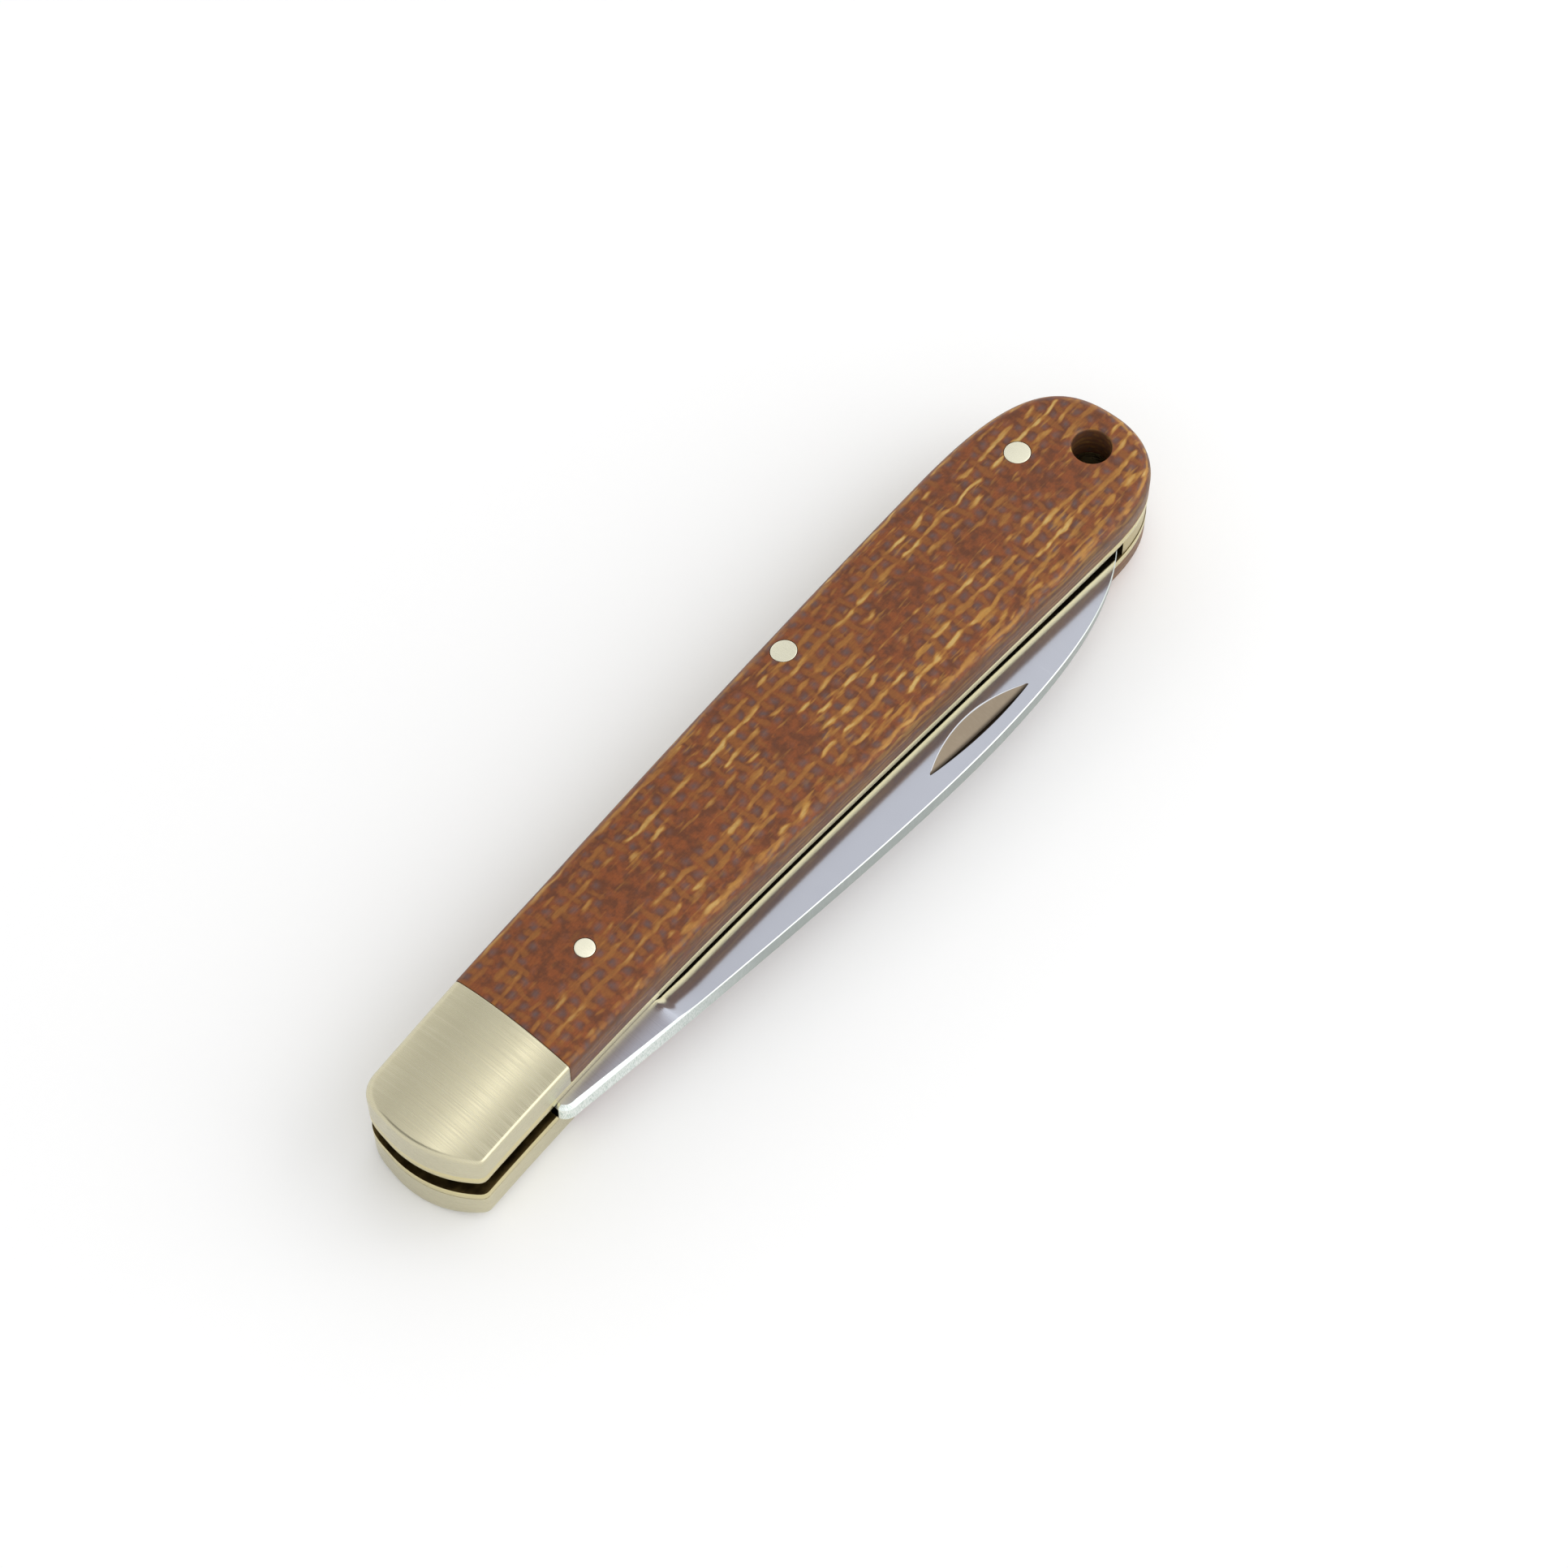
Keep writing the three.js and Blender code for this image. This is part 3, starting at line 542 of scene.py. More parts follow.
def burlapMicarta():
    material, surface = newMaterial("burlap_micarta")
    b = burlap
    point = place()
    x, y, z = parts(point)

    def wander(scale, amount, shift):  # slow drift of the threads, in millimetres
        moved = node("ShaderNodeVectorMath", {0: point, 1: shift}, operation="ADD").outputs[0]
        return times(minus(noise(moved, scale), 0.5), amount)

    level = maths("DIVIDE", sizeOf(add(z, wander(0.13, b["sag"], (0, 0, 0)))), b["layer"])
    layerNumber = maths("FLOOR", level)
    height = times(minus(maths("FRACT", level), 0.5), b["layer"])
    inLayer = remap(sizeOf(height), b["layer"] * 0.33, b["layer"] * 0.5, 1.0, 0.0)
    shiftX, shiftY = (times(layerNumber, shift) for shift in b["layerShift"])
    xs = add(x, wander(0.3, b["drift"], (31, 0, 0)), shiftX, wander(0.9, b["kink"], (7, 0, 0)))
    ys = add(y, wander(0.25, b["drift"], (0, 47, 0)), shiftY, wander(0.9, b["kink"], (0, 9, 0)))

    # How deep inside a thread a point is, 0 at its centre and 1 at its skin, and how far between two threads.
    def thread(across, along, pitch, otherPitch, halfWidth, phase, slub):
        rows = maths("DIVIDE", across, pitch)
        offset = times(minus(maths("FRACT", rows), 0.5), pitch)
        turn = add(maths("DIVIDE", along, otherPitch), add(maths("FLOOR", rows), phase))
        ride = times(maths("COSINE", times(turn, math.pi)), b["lift"])
        wide = maths("POWER", maths("DIVIDE", offset, halfWidth), 2.0)
        tall = maths("POWER", maths("DIVIDE", minus(height, ride), b["threadHeight"]), 2.0)
        gap = remap(sizeOf(offset), halfWidth * 0.6, pitch / 2)
        return times(add(wide, tall), slub), gap

    def shown(value, low, high, most):
        return times(remap(value, low, high, 0.0, most), inLayer)

    strands = noise(point, (0.9, 5.5, 5.5), 3.0, 0.6)
    crossStrands = noise(point, (5.5, 0.9, 5.5), 3.0, 0.6)
    fuzz = noise(point, 2.6, 4.0, 0.65)
    clouds = noise(point, 0.8, 4.0, 0.6)
    patches = noise(point, (0.16, 0.26, 0.26), 3.0)
    slubs = remap(noise(point, (0.4, 1.0, 1.0)), 0.3, 0.7, 2.4, 0.6)
    frayed = times(slubs, remap(strands, 0.25, 0.75, 1.2, 0.8))
    crossFrayed = times(slubs, remap(crossStrands, 0.25, 0.75, 1.25, 0.8))
    weftDepth, weftGap = thread(ys, xs, b["weftPitch"], b["warpPitch"], b["weftHalf"], -0.5, frayed)
    warpDepth, warpGap = thread(xs, ys, b["warpPitch"], b["weftPitch"], b["warpHalf"], 0.5, crossFrayed)

    # the golden cores are stronger towards the butt and in patches; along the belly they are also
    # strengthened as a painted highlight of the light from that side
    paintedBellyHighlight = times(remap(y, -2.0, -6.0), remap(x, 12.0, 36.0, 0.3, 1.0))
    patchShare = remap(add(patches, times(paintedBellyHighlight, 0.1)), 0.38, 0.6, 0.3, 1.0)
    lustre = remap(x, junctionX, junctionX + b["lustreRun"], b["lustreAtBolster"], b["lustreBehind"])
    lustre = times(lustre, patchShare)
    stray = add(noise(point, (0.3, 1.7, 1.7)), times(paintedBellyHighlight, 0.06))
    # where the edge's curve cuts the layers, their cores show as thin lines along the outline
    slope = remap(upward(), 0.975, 0.90)
    layerCore = remap(sizeOf(height), 0.20, 0.02)
    broken = remap(noise(point, (0.28, 0.28, 0.6), 3.0), 0.38, 0.58, 0.0, 0.8)

    # coats over the resin: its second red, grey cells between the threads, their skins, then the cores
    coats = (
        (remap(clouds, 0.36, 0.62), "redResin"),
        (times(weftGap, warpGap, inLayer, remap(fuzz, 0.3, 0.6, 0.95, 0.6)), "cell"),
        (shown(warpDepth, 3.0, 0.2, 0.85), "warp"),
        (shown(weftDepth, 3.2, 0.6, 0.85), "skin"),
        (times(shown(weftDepth, 2.1, 0.1, 0.95), lustre), "core"),
        (times(shown(weftDepth, 1.1, -0.1, 0.85), remap(patches, 0.42, 0.62), lustre), "bright"),
        (times(remap(stray, 0.56, 0.74, 0.0, 0.65), lustre), "core"),
        (times(slope, layerCore, broken, lustre), "core"))
    colour = b["resin"]
    for share, tone in coats:
        colour = mixColour(share, colour, b[tone])
    fibre = remap(mixValue(0.5, strands, fuzz), 0.3, 0.7, 0.86, 1.16)
    colour = node("ShaderNodeHueSaturation", {"Value": fibre, "Color": colour}).outputs[0]
    # the upright walls lean towards a duller, greyer brown
    wall = times(minus(1.0, facing()), 0.6)
    fill(surface, {"Base Color": mixColour(wall, colour, b["uprightTone"]),
                   "Roughness": remap(fuzz, 0.3, 0.7, *b["roughness"]), "Specular IOR Level": b["specular"],
                   "Normal": bump(mixValue(0.35, fuzz, strands), b["bump"])})
    return material


# The metals' finishes. The grooves' depths are in millimetres.
finishes = dict(
    bolster=dict(name="satin_bolster", colour=(0.690, 0.655, 0.488), deepColour=(0.590, 0.548, 0.385),
                 roughness=0.25, spread=0.07, grain=(5.0, 0.05, 0.05), sideGrain=(0.3, 0.3, 10.0),
                 depth=0.0034, blotch=0.08),
    liner=dict(name="satin_liner", colour=(0.77, 0.695, 0.42), deepColour=(0.67, 0.595, 0.33),
               roughness=0.26, spread=0.05, grain=(9.0, 0.5, 9.0), sideGrain=(0.3, 0.3, 12.0), depth=0.0018),
    # slot: a dark, rough brass for the faces inside the blade's slot, partly the brass's tarnish and partly
    # painted shade of the slot
    slot=dict(name="slot_tarnish_and_painted_shade", colour=(0.20, 0.14, 0.05), deepColour=(0.05, 0.032, 0.012),
              roughness=0.42, spread=0.08, grain=(0.5, 1.2, 5.0), sideGrain=(0.4, 0.4, 9.0),
              depth=0.006, blotch=0.3),
    pin=dict(name="polished_pin", colour=(0.95, 0.93, 0.75), deepColour=(0.88, 0.85, 0.67),
             roughness=0.24, spread=0.05, grain=(9.0, 0.6, 9.0), sideGrain=(0.5, 0.5, 9.0), depth=0.0010),
    # spring: the steel spring's olive-gold colour is a painted reflection of the brass liners and the shade
    # between them; its grooves and roughness are its satin finish
    spring=dict(name="satin_spring_painted_reflection", colour=(0.62, 0.54, 0.31), deepColour=(0.48, 0.41, 0.22),
                roughness=0.32, spread=0.06, grain=(9.0, 0.5, 9.0), sideGrain=(0.3, 0.3, 12.0),
                depth=0.0022),
    blade=dict(name="satin_blade", colour=(0.60, 0.62, 0.69), deepColour=(0.55, 0.57, 0.64),
               roughness=0.17, spread=0.02, grain=(7.0, 0.1, 0.1), sideGrain=(8.0, 8.0, 0.4),
               depth=0.0006, blotch=0.08, anisotropic=0.85,
               atTang=dict(colours=((0.61, 0.62, 0.71), (0.67, 0.68, 0.77)), roughness=0.50,
                           startX=18.5, endX=20.0)),
    spine=dict(name="ground_spine", colour=(0.60, 0.65, 0.62), deepColour=(0.38, 0.42, 0.40),
               roughness=0.34, spread=0.07, grain=(7.0, 0.8, 0.8), sideGrain=(5.5, 0.6, 0.5),
               depth=0.006, blotch=0.05,
               # near the tang the spine's tick colours run up to near white, a painted reflection of the
               # white sheet
               atTang=dict(colours=((0.56, 0.66, 0.61), (0.90, 0.95, 0.92)), roughness=0.30,
                           startX=14.0, endX=34.0)),
    nick=dict(name="nick_steel", colour=(0.43, 0.355, 0.265), deepColour=(0.35, 0.285, 0.21),
              roughness=0.38, spread=0.05, grain=(5.0, 0.8, 5.0), sideGrain=(5.0, 0.8, 5.0),
              depth=0.004, blotch=0.08))
metal = {key: brushedMetal(**values) for key, values in finishes.items()}
micarta = burlapMicarta()
print("materials made")


# Holes and pins
pins = dict(
    clearance=0.055, edge=0.06, pivotRadius=1.6, pivotDepth=0.2, linerHole=1.64, tangHole=1.65,
    shortFoot=0.05,
    scale=(junctionX + 10.15, 0.1, 1.05), middle=(56.2, 7.105, 1.375), butt=(buttX - 10.75, 3.85, 1.4))
lanyard = dict(place=(buttX - 5.25, -1.6), radius=2.1, rim=0.3, rimDrop=0.02, flare=1.5)
reach = 20


# The lanyard hole's cutter: a rod whose ends flare out in a quarter round and then a cone.
def lanyardRings():
    radius, rim, flare = lanyard["radius"], lanyard["rim"], lanyard["flare"]
    surfaceZ = topZ - lanyard["rimDrop"]
    angle = np.radians(np.linspace(0, 80, 9))
    upper = [(radius + rim * (1 - math.cos(a)), surfaceZ - rim + rim * math.sin(a)) for a in angle]
    upper.append((radius + rim + flare, surfaceZ + flare))
    lower = [(r, -z) for r, z in reversed(upper)]
    return turnedRings(lanyard["place"], lower + upper, 128)


def drill(place, radius):  # a rod that cuts right through
    return rodRings(place, radius, -reach, reach)


def pinHoles(*keys):
    return [drill(pins[key][:2], pins[key][2] + pins["clearance"]) for key in keys]


# Height of the scale's surface, round edge included, taking the edge as running along x.
def scaleHeight(x, y):
    radius = scaleEdge(x)
    half = halfWidth(x, y)
    slope = crownAt(x, np.where(y < crownLine, crownLine - half, crownLine + half))[1]
    turn = np.pi / 2 - np.arctan(slope)
    edgeInset = radius * (1 - np.cos(turn))
    inset = np.clip(half - np.abs(y - crownLine), 1e-6, None)
    side = np.sign(y - crownLine)
    roundTop = topZ - crownAt(x, crownLine + side * (half - edgeInset))[0]
    angle = np.arccos(np.clip(1 - inset / radius, -1, 1))
    rounded = roundTop - radius * (np.sin(turn) - np.sin(np.minimum(angle, turn)))
    return np.where(inset < edgeInset, rounded, topZ - crownAt(x, y)[0])


# A pin whose head follows the scale: rings out from the centre, over a small round edge and down the side.
def pinRings(pin, lowEnd):
    x0, y0, radius = pin
    angle = np.linspace(0, 2 * np.pi, 96, endpoint=False)
    share = np.array([0.02, 0.25, 0.5, 0.75, 0.9])
    edgeTurn = np.radians(np.linspace(0, 90, 7))
    radii = np.concatenate([share * (radius - pins["edge"]), radius - pins["edge"] * (1 - np.sin(edgeTurn))])
    sink = np.concatenate([0 * share, pins["edge"] * (1 - np.cos(edgeTurn))])
    x = x0 + radii[:, None] * np.cos(angle)
    y = y0 + radii[:, None] * np.sin(angle)
    head = np.dstack([x, y, scaleHeight(x, y) - sink[:, None]])
    if lowEnd is None:
        return np.concatenate([head, mirrored(head)[::-1]])
    foot = head[-1:] * [1, 1, 0] + [0, 0, lowEnd]
    return np.concatenate([head, foot])


# Scales and bolsters
scaleCover = dict(edgeAtJunction=1.0, edgeRadius=1.7, edgeBlend=17.0, stations=330, seamRounding=0.1,
                  squareRun=2)
bolsterCover = dict(edgeRadius=0.45, backRadius=1.0, stations=150, seamRounding=0.16, squareRun=2)


def scaleEdge(x):
    share = smooth((x - junctionX) / scaleCover["edgeBlend"])
    return scaleCover["edgeAtJunction"] + (scaleCover["edgeRadius"] - scaleCover["edgeAtJunction"]) * share


def bolsterEdge(y):
    start = crownLine + handle["backAtNose"] / 2
    share = smooth((y - start) / (handle["backAtNose"] / 2))
    return bolsterCover["edgeRadius"] + (bolsterCover["backRadius"] - bolsterCover["edgeRadius"]) * share


# Distances from the seam: a few close ones that round the seam's edge, then even steps.
def seamSteps(total, rounding, stations):
    turn = np.radians(np.linspace(0, 90, 6))
    close = rounding * (1 - np.cos(turn))
    inset = rounding * (1 - np.sin(turn))
    even = np.linspace(rounding, total, stations)[1:]
    return np.concatenate([close, even]), np.concatenate([inset, 0 * even])


def unitNormals(rail):
    rail[:, 2:] /= np.hypot(rail[:, 2], rail[:, 3])[:, None]
    return rail


# A cover's rings from the seam at fromX to the butt or to the nose.
def coverBetween(fromX, toEnd, cover, radiusOf):
    rails = []
    for path in (bellySide, backSide):
        seam = lengthAtX(path, fromX)
        run = (lengthsAlong(path)[-1] if toEnd == "butt" else 0) - seam
        steps, inset = seamSteps(abs(run), cover["seamRounding"], cover["stations"])
        rail = take(path, seam + math.copysign(1, run) * steps)
        rail[:, 2] *= smooth(steps / cover["squareRun"])  # square to the seam at first
        rails.append(unitNormals(rail))
    near, far = rails
    return coverRings(near, far, radiusOf(near), radiusOf(far), inset)


def makeScales():
    rings = coverBetween(junctionX, "butt", scaleCover, lambda rail: scaleEdge(rail[:, 0]))
    holes = [lanyardRings()] + pinHoles("scale", "middle", "butt")
    makePair("micarta_scale", "scale", rings, [micarta], holes=holes)


def makeBolsters():
    rings = coverBetween(junctionX, "nose", bolsterCover, lambda rail: bolsterEdge(rail[:, 1]))
    makePair("brass_bolster", "bolster", rings, [metal["bolster"]])


# Liners
liner = dict(edge=0.05, stations=420)


def makeLiners():
    edge = liner["edge"]
    share = np.linspace(0, 1, liner["stations"])
    rails = [unitNormals(take(path, lengthsAlong(path)[-1] * share)) for path in (bellySide, backSide)]
    holes = [drill(lanyard["place"], lanyard["radius"]), drill((0, 0), pins["linerHole"])]
    holes += pinHoles("scale", "middle", "butt")
    rings = plateRings(*rails, brokenEdges(gapHalf, linerFace, edge, 0.3))
    # the liners' faces inside the blade's slot take the slot's dark brass, which carries painted shade
    makePair("brass_liner", "liner", rings, [metal["liner"], metal["slot"]],
             caps=(False, False), holes=holes, insideTo=gapHalf + edge * 0.2)


# Backspring: a bar along the back that turns down into a block round the butt
tang = dict(camRadius=4.7, backFaceTilt=5.0, shoulderX=5.3, shoulderRun=1.8, kickX=6.2, ricassoEdgeX=8.4,
            ricassoEdgeY=2.0, fillet=1.1)
spring = dict(play=0.005, toTang=0.05, recess=0.09, noseGap=0.35, noseChamfer=0.9, relief=0.2,
              blockSetback=26.7, blockTurn=10, blockToTip=0.2, blockFootDrop=1.25, blockPull=(0.7, 6.2),
              edge=0.07, stations=420, darkSlope=(-0.15, 0.3))
tip = dict(setback=9.8, drop=8.95)
tipX = buttX - tip["setback"]


# The spring's inner edge: straight over the tang, relieved behind it, then a cubic down to the foot.
def springInner():
    front = -(tang["shoulderX"] + spring["noseGap"])
    underside = tang["camRadius"] + spring["toTang"]
    relief = underside + spring["relief"]
    turnDown = np.array([buttX - spring["blockSetback"], relief])
    foot = np.array([tipX + spring["blockToTip"], -tip["drop"] - spring["blockFootDrop"]])
    bar = np.array([[front, underside + spring["noseChamfer"]], [front + spring["noseChamfer"], underside],
                    [tang["kickX"] + 2, underside], [tang["kickX"] + 4, relief]])
    block = curve(200, turnDown, turnDown + [spring["blockTurn"], 0], foot + spring["blockPull"], foot)
    return np.vstack([bar, block]), front, turnDown[0]


# Two rails: the inner edge, and the outline sunk by the recess. Both end where they cross at the belly.
def springRails():
    inner, front, turnX = springInner()
    recessed = np.vstack([backSide[:-1], bellySide[::-1]])
    recessed = recessed[:, :2] - recessed[:, 2:] * spring["recess"]
    bellyY = np.interp(inner[:, 0], bellySide[:, 0], bellySide[:, 1] + spring["recess"])
    outside = np.nonzero((inner[:, 1] < bellyY) & (inner[:, 0] > turnX))[0][0]
    over, under = (inner[k, 1] - bellyY[k] for k in (outside - 1, outside))
    foot = inner[outside - 1] + (inner[outside] - inner[outside - 1]) * (over / (over - under))
    inner = np.vstack([inner[:outside], foot])
    begin = np.nonzero(recessed[:, 0] >= front)[0][0]
    pole = int(np.argmax(recessed[:, 0]))
    stop = pole + np.nonzero(recessed[pole:, 0] <= foot[0])[0][0]
    outer = np.vstack([recessed[begin:stop], foot])
    rails = []
    for edge, side in ((inner, 1), (outer, -1)):
        path = withNormals(take(edge, np.linspace(0, lengthsAlong(edge)[-1], 1500)), side)
        turn = lengthAtX(path[:1100], turnX)  # the last part runs back and is left out of the search
        total = lengthsAlong(path)[-1]
        split = spring["stations"] // 2
        rail = take(path, np.concatenate([np.linspace(0, turn, split)[:-1], np.linspace(turn, total, split)]))
        unitNormals(rail)[-1, 2:] = 0  # both rails end in the foot's edge
        rails.append(rail)
    return rails, turnX


def makeSpring():
    rails, turnX = springRails()
    half = gapHalf - spring["play"]
    rings = plateRings(*rails, brokenEdges(-half, half, spring["edge"], 0.7))
    piece = buildMesh("steel_backspring", rings, capFirst=True, materials=[metal["spring"], metal["slot"]])
    holes = [drill(lanyard["place"], lanyard["radius"])] + pinHoles("middle", "butt")
    carve(piece, holes, [metal["spring"]])
    # the block's faces that look into the slot behind the tang take the slot's dark brass as well: painted
    # shade
    centres, normals = faceCentres(piece), faceNormals(piece)
    lookX, lookY = spring["darkSlope"]
    intoSlot = (normals[:, 0] < lookX) & (normals[:, 1] < lookY) & (centres[:, 0] > turnX)
    offHole = np.hypot(*(centres[:, :2] - lanyard["place"]).T) > lanyard["radius"] + 0.1
    giveSecond(piece, intoSlot & offHole)
    dress(piece, "handle", ["backspring"])
    print("backspring made")


def makePins():
    pivotTop = topZ - pins["pivotDepth"]
    rod = rodRings((0, 0), pins["pivotRadius"], -pivotTop, pivotTop)
    piece = buildMesh("blade_pivot_pin", rod, True, True, [metal["pin"]])
    dress(piece, "handle", ["pivot_pin"])
    for key, packed in (("middle", "spring_middle_pin"), ("butt", "spring_end_pin")):
        piece = buildMesh(f"{key}_pin", pinRings(pins[key], None), True, True, [metal["pin"]])
        dress(piece, "handle", [packed])
    short = pinRings(pins["scale"], gapHalf + pins["shortFoot"])
    makePair("short_pin", "scale_pin", short, [metal["pin"]], caps=(True, True))
    print("pins made")


# Blade, lying closed: the tang's cam at the pivot, the shoulder, the ricasso, a plunge line and flat-ground
# faces that run straight from the spine to the edge.
blade = dict(
    plungeX=19.6, plungeSlant=0.35, plungeRunOut=0.9, spineAtShoulder=8.45, spineAtCrest=14.1, crestX=66.0,
    spinePullStart=0.33, spinePullCrest=0.24, spineRise=0.44, dropPull=0.42, tipPull=4.3,
    edgePullStart=0.43, edgePullTip=0.82, edgeBow=0.45, edgeThickness=0.4, edgeFlat=0.02,
    softRunOut=5.0, softShare=0.4, softPower=0.8, lean=0.2,
    spineThickness=((0, 20, 66, 73, 79, 85, 89.5, 90.9), (2.34, 2.24, 2.16, 1.95, 1.65, 1.15, 0.55, 0.2)),
    shoulderBevel=0.5, plungeBevel=0.22, spineBevel=0.09, bevelDrop=0.7, edgeBevel=0.5,
    tangBevel=0.08, tangDrop=0.06, across=44)
# The nick's shade, shade colour and wall colour are painted shade; its rim and rim colour are a painted
# highlight.
nick = dict(
    x=64.1, y=-12.0, length=15.4, depth=0.62, width=2.3, wall=0.56, tilt=-3.5, wheelTop=2.5, wheelTurn=19,
    stations=240, shade=0.45, shadeColour=(0.085, 0.068, 0.052), wallShadeColour=(0.040, 0.032, 0.025),
    rim=0.038, rimHighlightColour=(0.80, 0.82, 0.86))
# bevelShine paints a highlight into the colour of the bevels beside the spine
bevelShine = dict(startX=20.0, endX=28.0, fadeX=72.0, goneX=86.0, leftOver=0.15, colour=(0.95, 0.98, 0.96))


def spineCurve():
    start = np.array([tang["shoulderX"] + tang["shoulderRun"], -blade["spineAtShoulder"]])
    crest = np.array([blade["crestX"], -blade["spineAtCrest"]])
    run, fall = crest[0] - start[0], tipX - crest[0]
    rise = blade["spineAtShoulder"] + (blade["spineAtCrest"] - blade["spineAtShoulder"]) * blade["spineRise"]
    straight = curve(400, start, [start[0] + run * blade["spinePullStart"], -rise],
                     [crest[0] - run * blade["spinePullCrest"], crest[1]], crest)
    drop = curve(400, crest, [crest[0] + fall * blade["dropPull"], crest[1]],
                 [tipX - fall * blade["spinePullCrest"], -tip["drop"] - blade["tipPull"]],
                 [tipX, -tip["drop"]])
    return np.vstack([straight[:-1], drop])


def edgeCurve():
    start = np.array([blade["plungeX"], tang["ricassoEdgeY"]])
    run = tipX - start[0]
    bowed = tang["ricassoEdgeY"] + blade["edgeBow"]
    return curve(600, start, [start[0] + run * blade["edgePullStart"], bowed],
                 [start[0] + run * blade["edgePullTip"], bowed], [tipX, -tip["drop"]])


# The blade's two rails from the cam's front to the tip, matched at the tang, shoulder and plunge line.
def bladeRails():
    tilt = math.radians(tang["backFaceTilt"])
    radius = tang["camRadius"]
    along = np.array([math.cos(tilt), -math.sin(tilt)])
    touch = np.array([-radius * math.sin(tilt), -radius * math.cos(tilt)])
    root = touch + along * (tang["shoulderX"] + radius * math.sin(tilt))
    shoulderX, fillet = tang["shoulderX"], tang["fillet"]

    def arc(fromAngle, toAngle):
        angle = np.radians(np.linspace(fromAngle, toAngle, 90))
        return radius * np.stack([np.cos(angle), np.sin(angle)], 1)

    camLow = arc(180, 270 - tang["backFaceTilt"])
    camHigh = arc(180, 90)
    ricasso = [tang["ricassoEdgeX"], tang["ricassoEdgeY"]]
    faceY = -blade["spineAtShoulder"]
    step = np.vstack([curve(40, root - along * fillet, root, [shoulderX, root[1] - fillet]),
                      curve(40, [shoulderX, faceY + fillet], [shoulderX + 0.4, faceY],
                            [shoulderX + tang["shoulderRun"], faceY])])
    kickFoot = [tang["kickX"] * 0.7 + ricasso[0] * 0.3, ricasso[1]]
    kick = np.vstack([[0, radius], curve(40, [tang["kickX"], radius], kickFoot, ricasso)])
    spine, edge = spineCurve(), edgeCurve()
    ran = blade["plungeRunOut"]
    plungeTop = blade["plungeX"] + blade["plungeSlant"]
    split, splitSpine = (int(k) for k in np.searchsorted(spine[:, 0], [plungeTop, plungeTop + ran]))
    splitEdge = int(np.searchsorted(edge[:, 0], blade["plungeX"] + ran))
    ricassoEdge = np.array([ricasso, edge[0]])
    pairs = [(camLow, camHigh, 40), (np.vstack([touch, step[0]]), kick[:2], 20), (step, kick[1:], 70),
             (spine[:split + 1], ricassoEdge, 60), (spine[split:splitSpine + 1], edge[:splitEdge + 1], 24),
             (spine[splitSpine:], edge[splitEdge:], 420)]
    near, far, ground = [], [], []
    for i, (low, high, count) in enumerate(pairs):
        share = np.linspace(0, 1, count + 1)[:-1] if i < len(pairs) - 1 else np.linspace(0, 1, count)
        near.append(take(low, share * lengthsAlong(low)[-1]))
        far.append(take(high, share * lengthsAlong(high)[-1]))
        ground.append(share if i == 4 else np.full(len(share), float(i > 4)))
    return withNormals(np.vstack(near), 1), withNormals(np.vstack(far), -1), np.concatenate(ground)


# The blade's closed rings. From the plunge on, its faces run straight from the thickness of the spine to
# that of the edge. Bevels and drops stay within a share of the blade's height and thickness.
def bladeRings():
    near, far, ground = bladeRails()
    half = handle["bladeStock"] / 2
    plungeX, shoulderX = blade["plungeX"], tang["shoulderX"]
    x = near[:, 0]
    chord = np.hypot(*(far[:, :2] - near[:, :2]).T)
    spineZ = np.interp(x, *blade["spineThickness"]) / 2
    runOut = smooth((far[:, 0] - plungeX) / blade["softRunOut"])
    ground = smooth(ground) ** blade["softPower"] * (1 - blade["softShare"] * (1 - runOut))
    edgeZ = half + (np.minimum(blade["edgeThickness"] / 2, spineZ * 0.8) - half) * ground
    spineZ = half + (spineZ - half) * ground

    toPlunge = np.clip((x - shoulderX) / (plungeX - shoulderX), 0, 1)
    bevel = blade["shoulderBevel"] + (blade["plungeBevel"] - blade["shoulderBevel"]) * toPlunge
    bevel = bevel + (blade["spineBevel"] - bevel) * smooth((x - plungeX) / 3)
    bevel = np.where(x < shoulderX - 0.5, blade["tangBevel"], bevel)
    bevel = np.minimum(bevel, chord * 0.2)
    drop = np.minimum(bevel * blade["bevelDrop"], spineZ * 0.5)
    sharp = far[:, 0] > plungeX - 0.5
    sharpened = np.minimum(np.where(sharp, blade["edgeBevel"], blade["tangBevel"]), chord * 0.3)
    closing = smooth(chord / 0.3)  # both rails end in one upright edge
    edgeDrop = np.where(sharp, edgeZ - blade["edgeFlat"], blade["tangDrop"]) * closing
    edgeZ = spineZ + (edgeZ - spineZ) * closing

    def rim(rail, inset, dropped, z):  # upper face's edge, over the bevel, down to mid thickness
        rows = [(inset, z), (inset * 0.45, z - dropped * 0.4), (0 * inset, z - dropped),
                (0 * inset, (z - dropped) * 0.5), (0 * inset, z * 0)]
        inset, height = (np.stack(column, 1) for column in zip(*rows))
        return np.dstack([rail[:, None, :2] - rail[:, None, 2:] * inset[..., None], height])

    spineSide = rim(near, bevel, drop, spineZ)
    edgeSide = rim(far, sharpened, edgeDrop, edgeZ)
    share = np.linspace(0, 1, blade["across"] + 2)[1:-1][None, :, None]
    face = spineSide[:, :1] + (edgeSide[:, :1] - spineSide[:, :1]) * share
    spineLoop, edgeLoop = (np.concatenate([side, mirrored(side)[:, -2::-1]], 1)
                           for side in (spineSide, edgeSide))
    rings = np.concatenate([spineLoop[:, ::-1], face, edgeLoop, mirrored(face)[:, ::-1]], 1)
    # at rest the point leans a little towards the upper liner
    rings[..., 2] += blade["lean"] * np.clip((rings[..., 0] - plungeX) / (tipX - plungeX), 0, 1)
    return rings


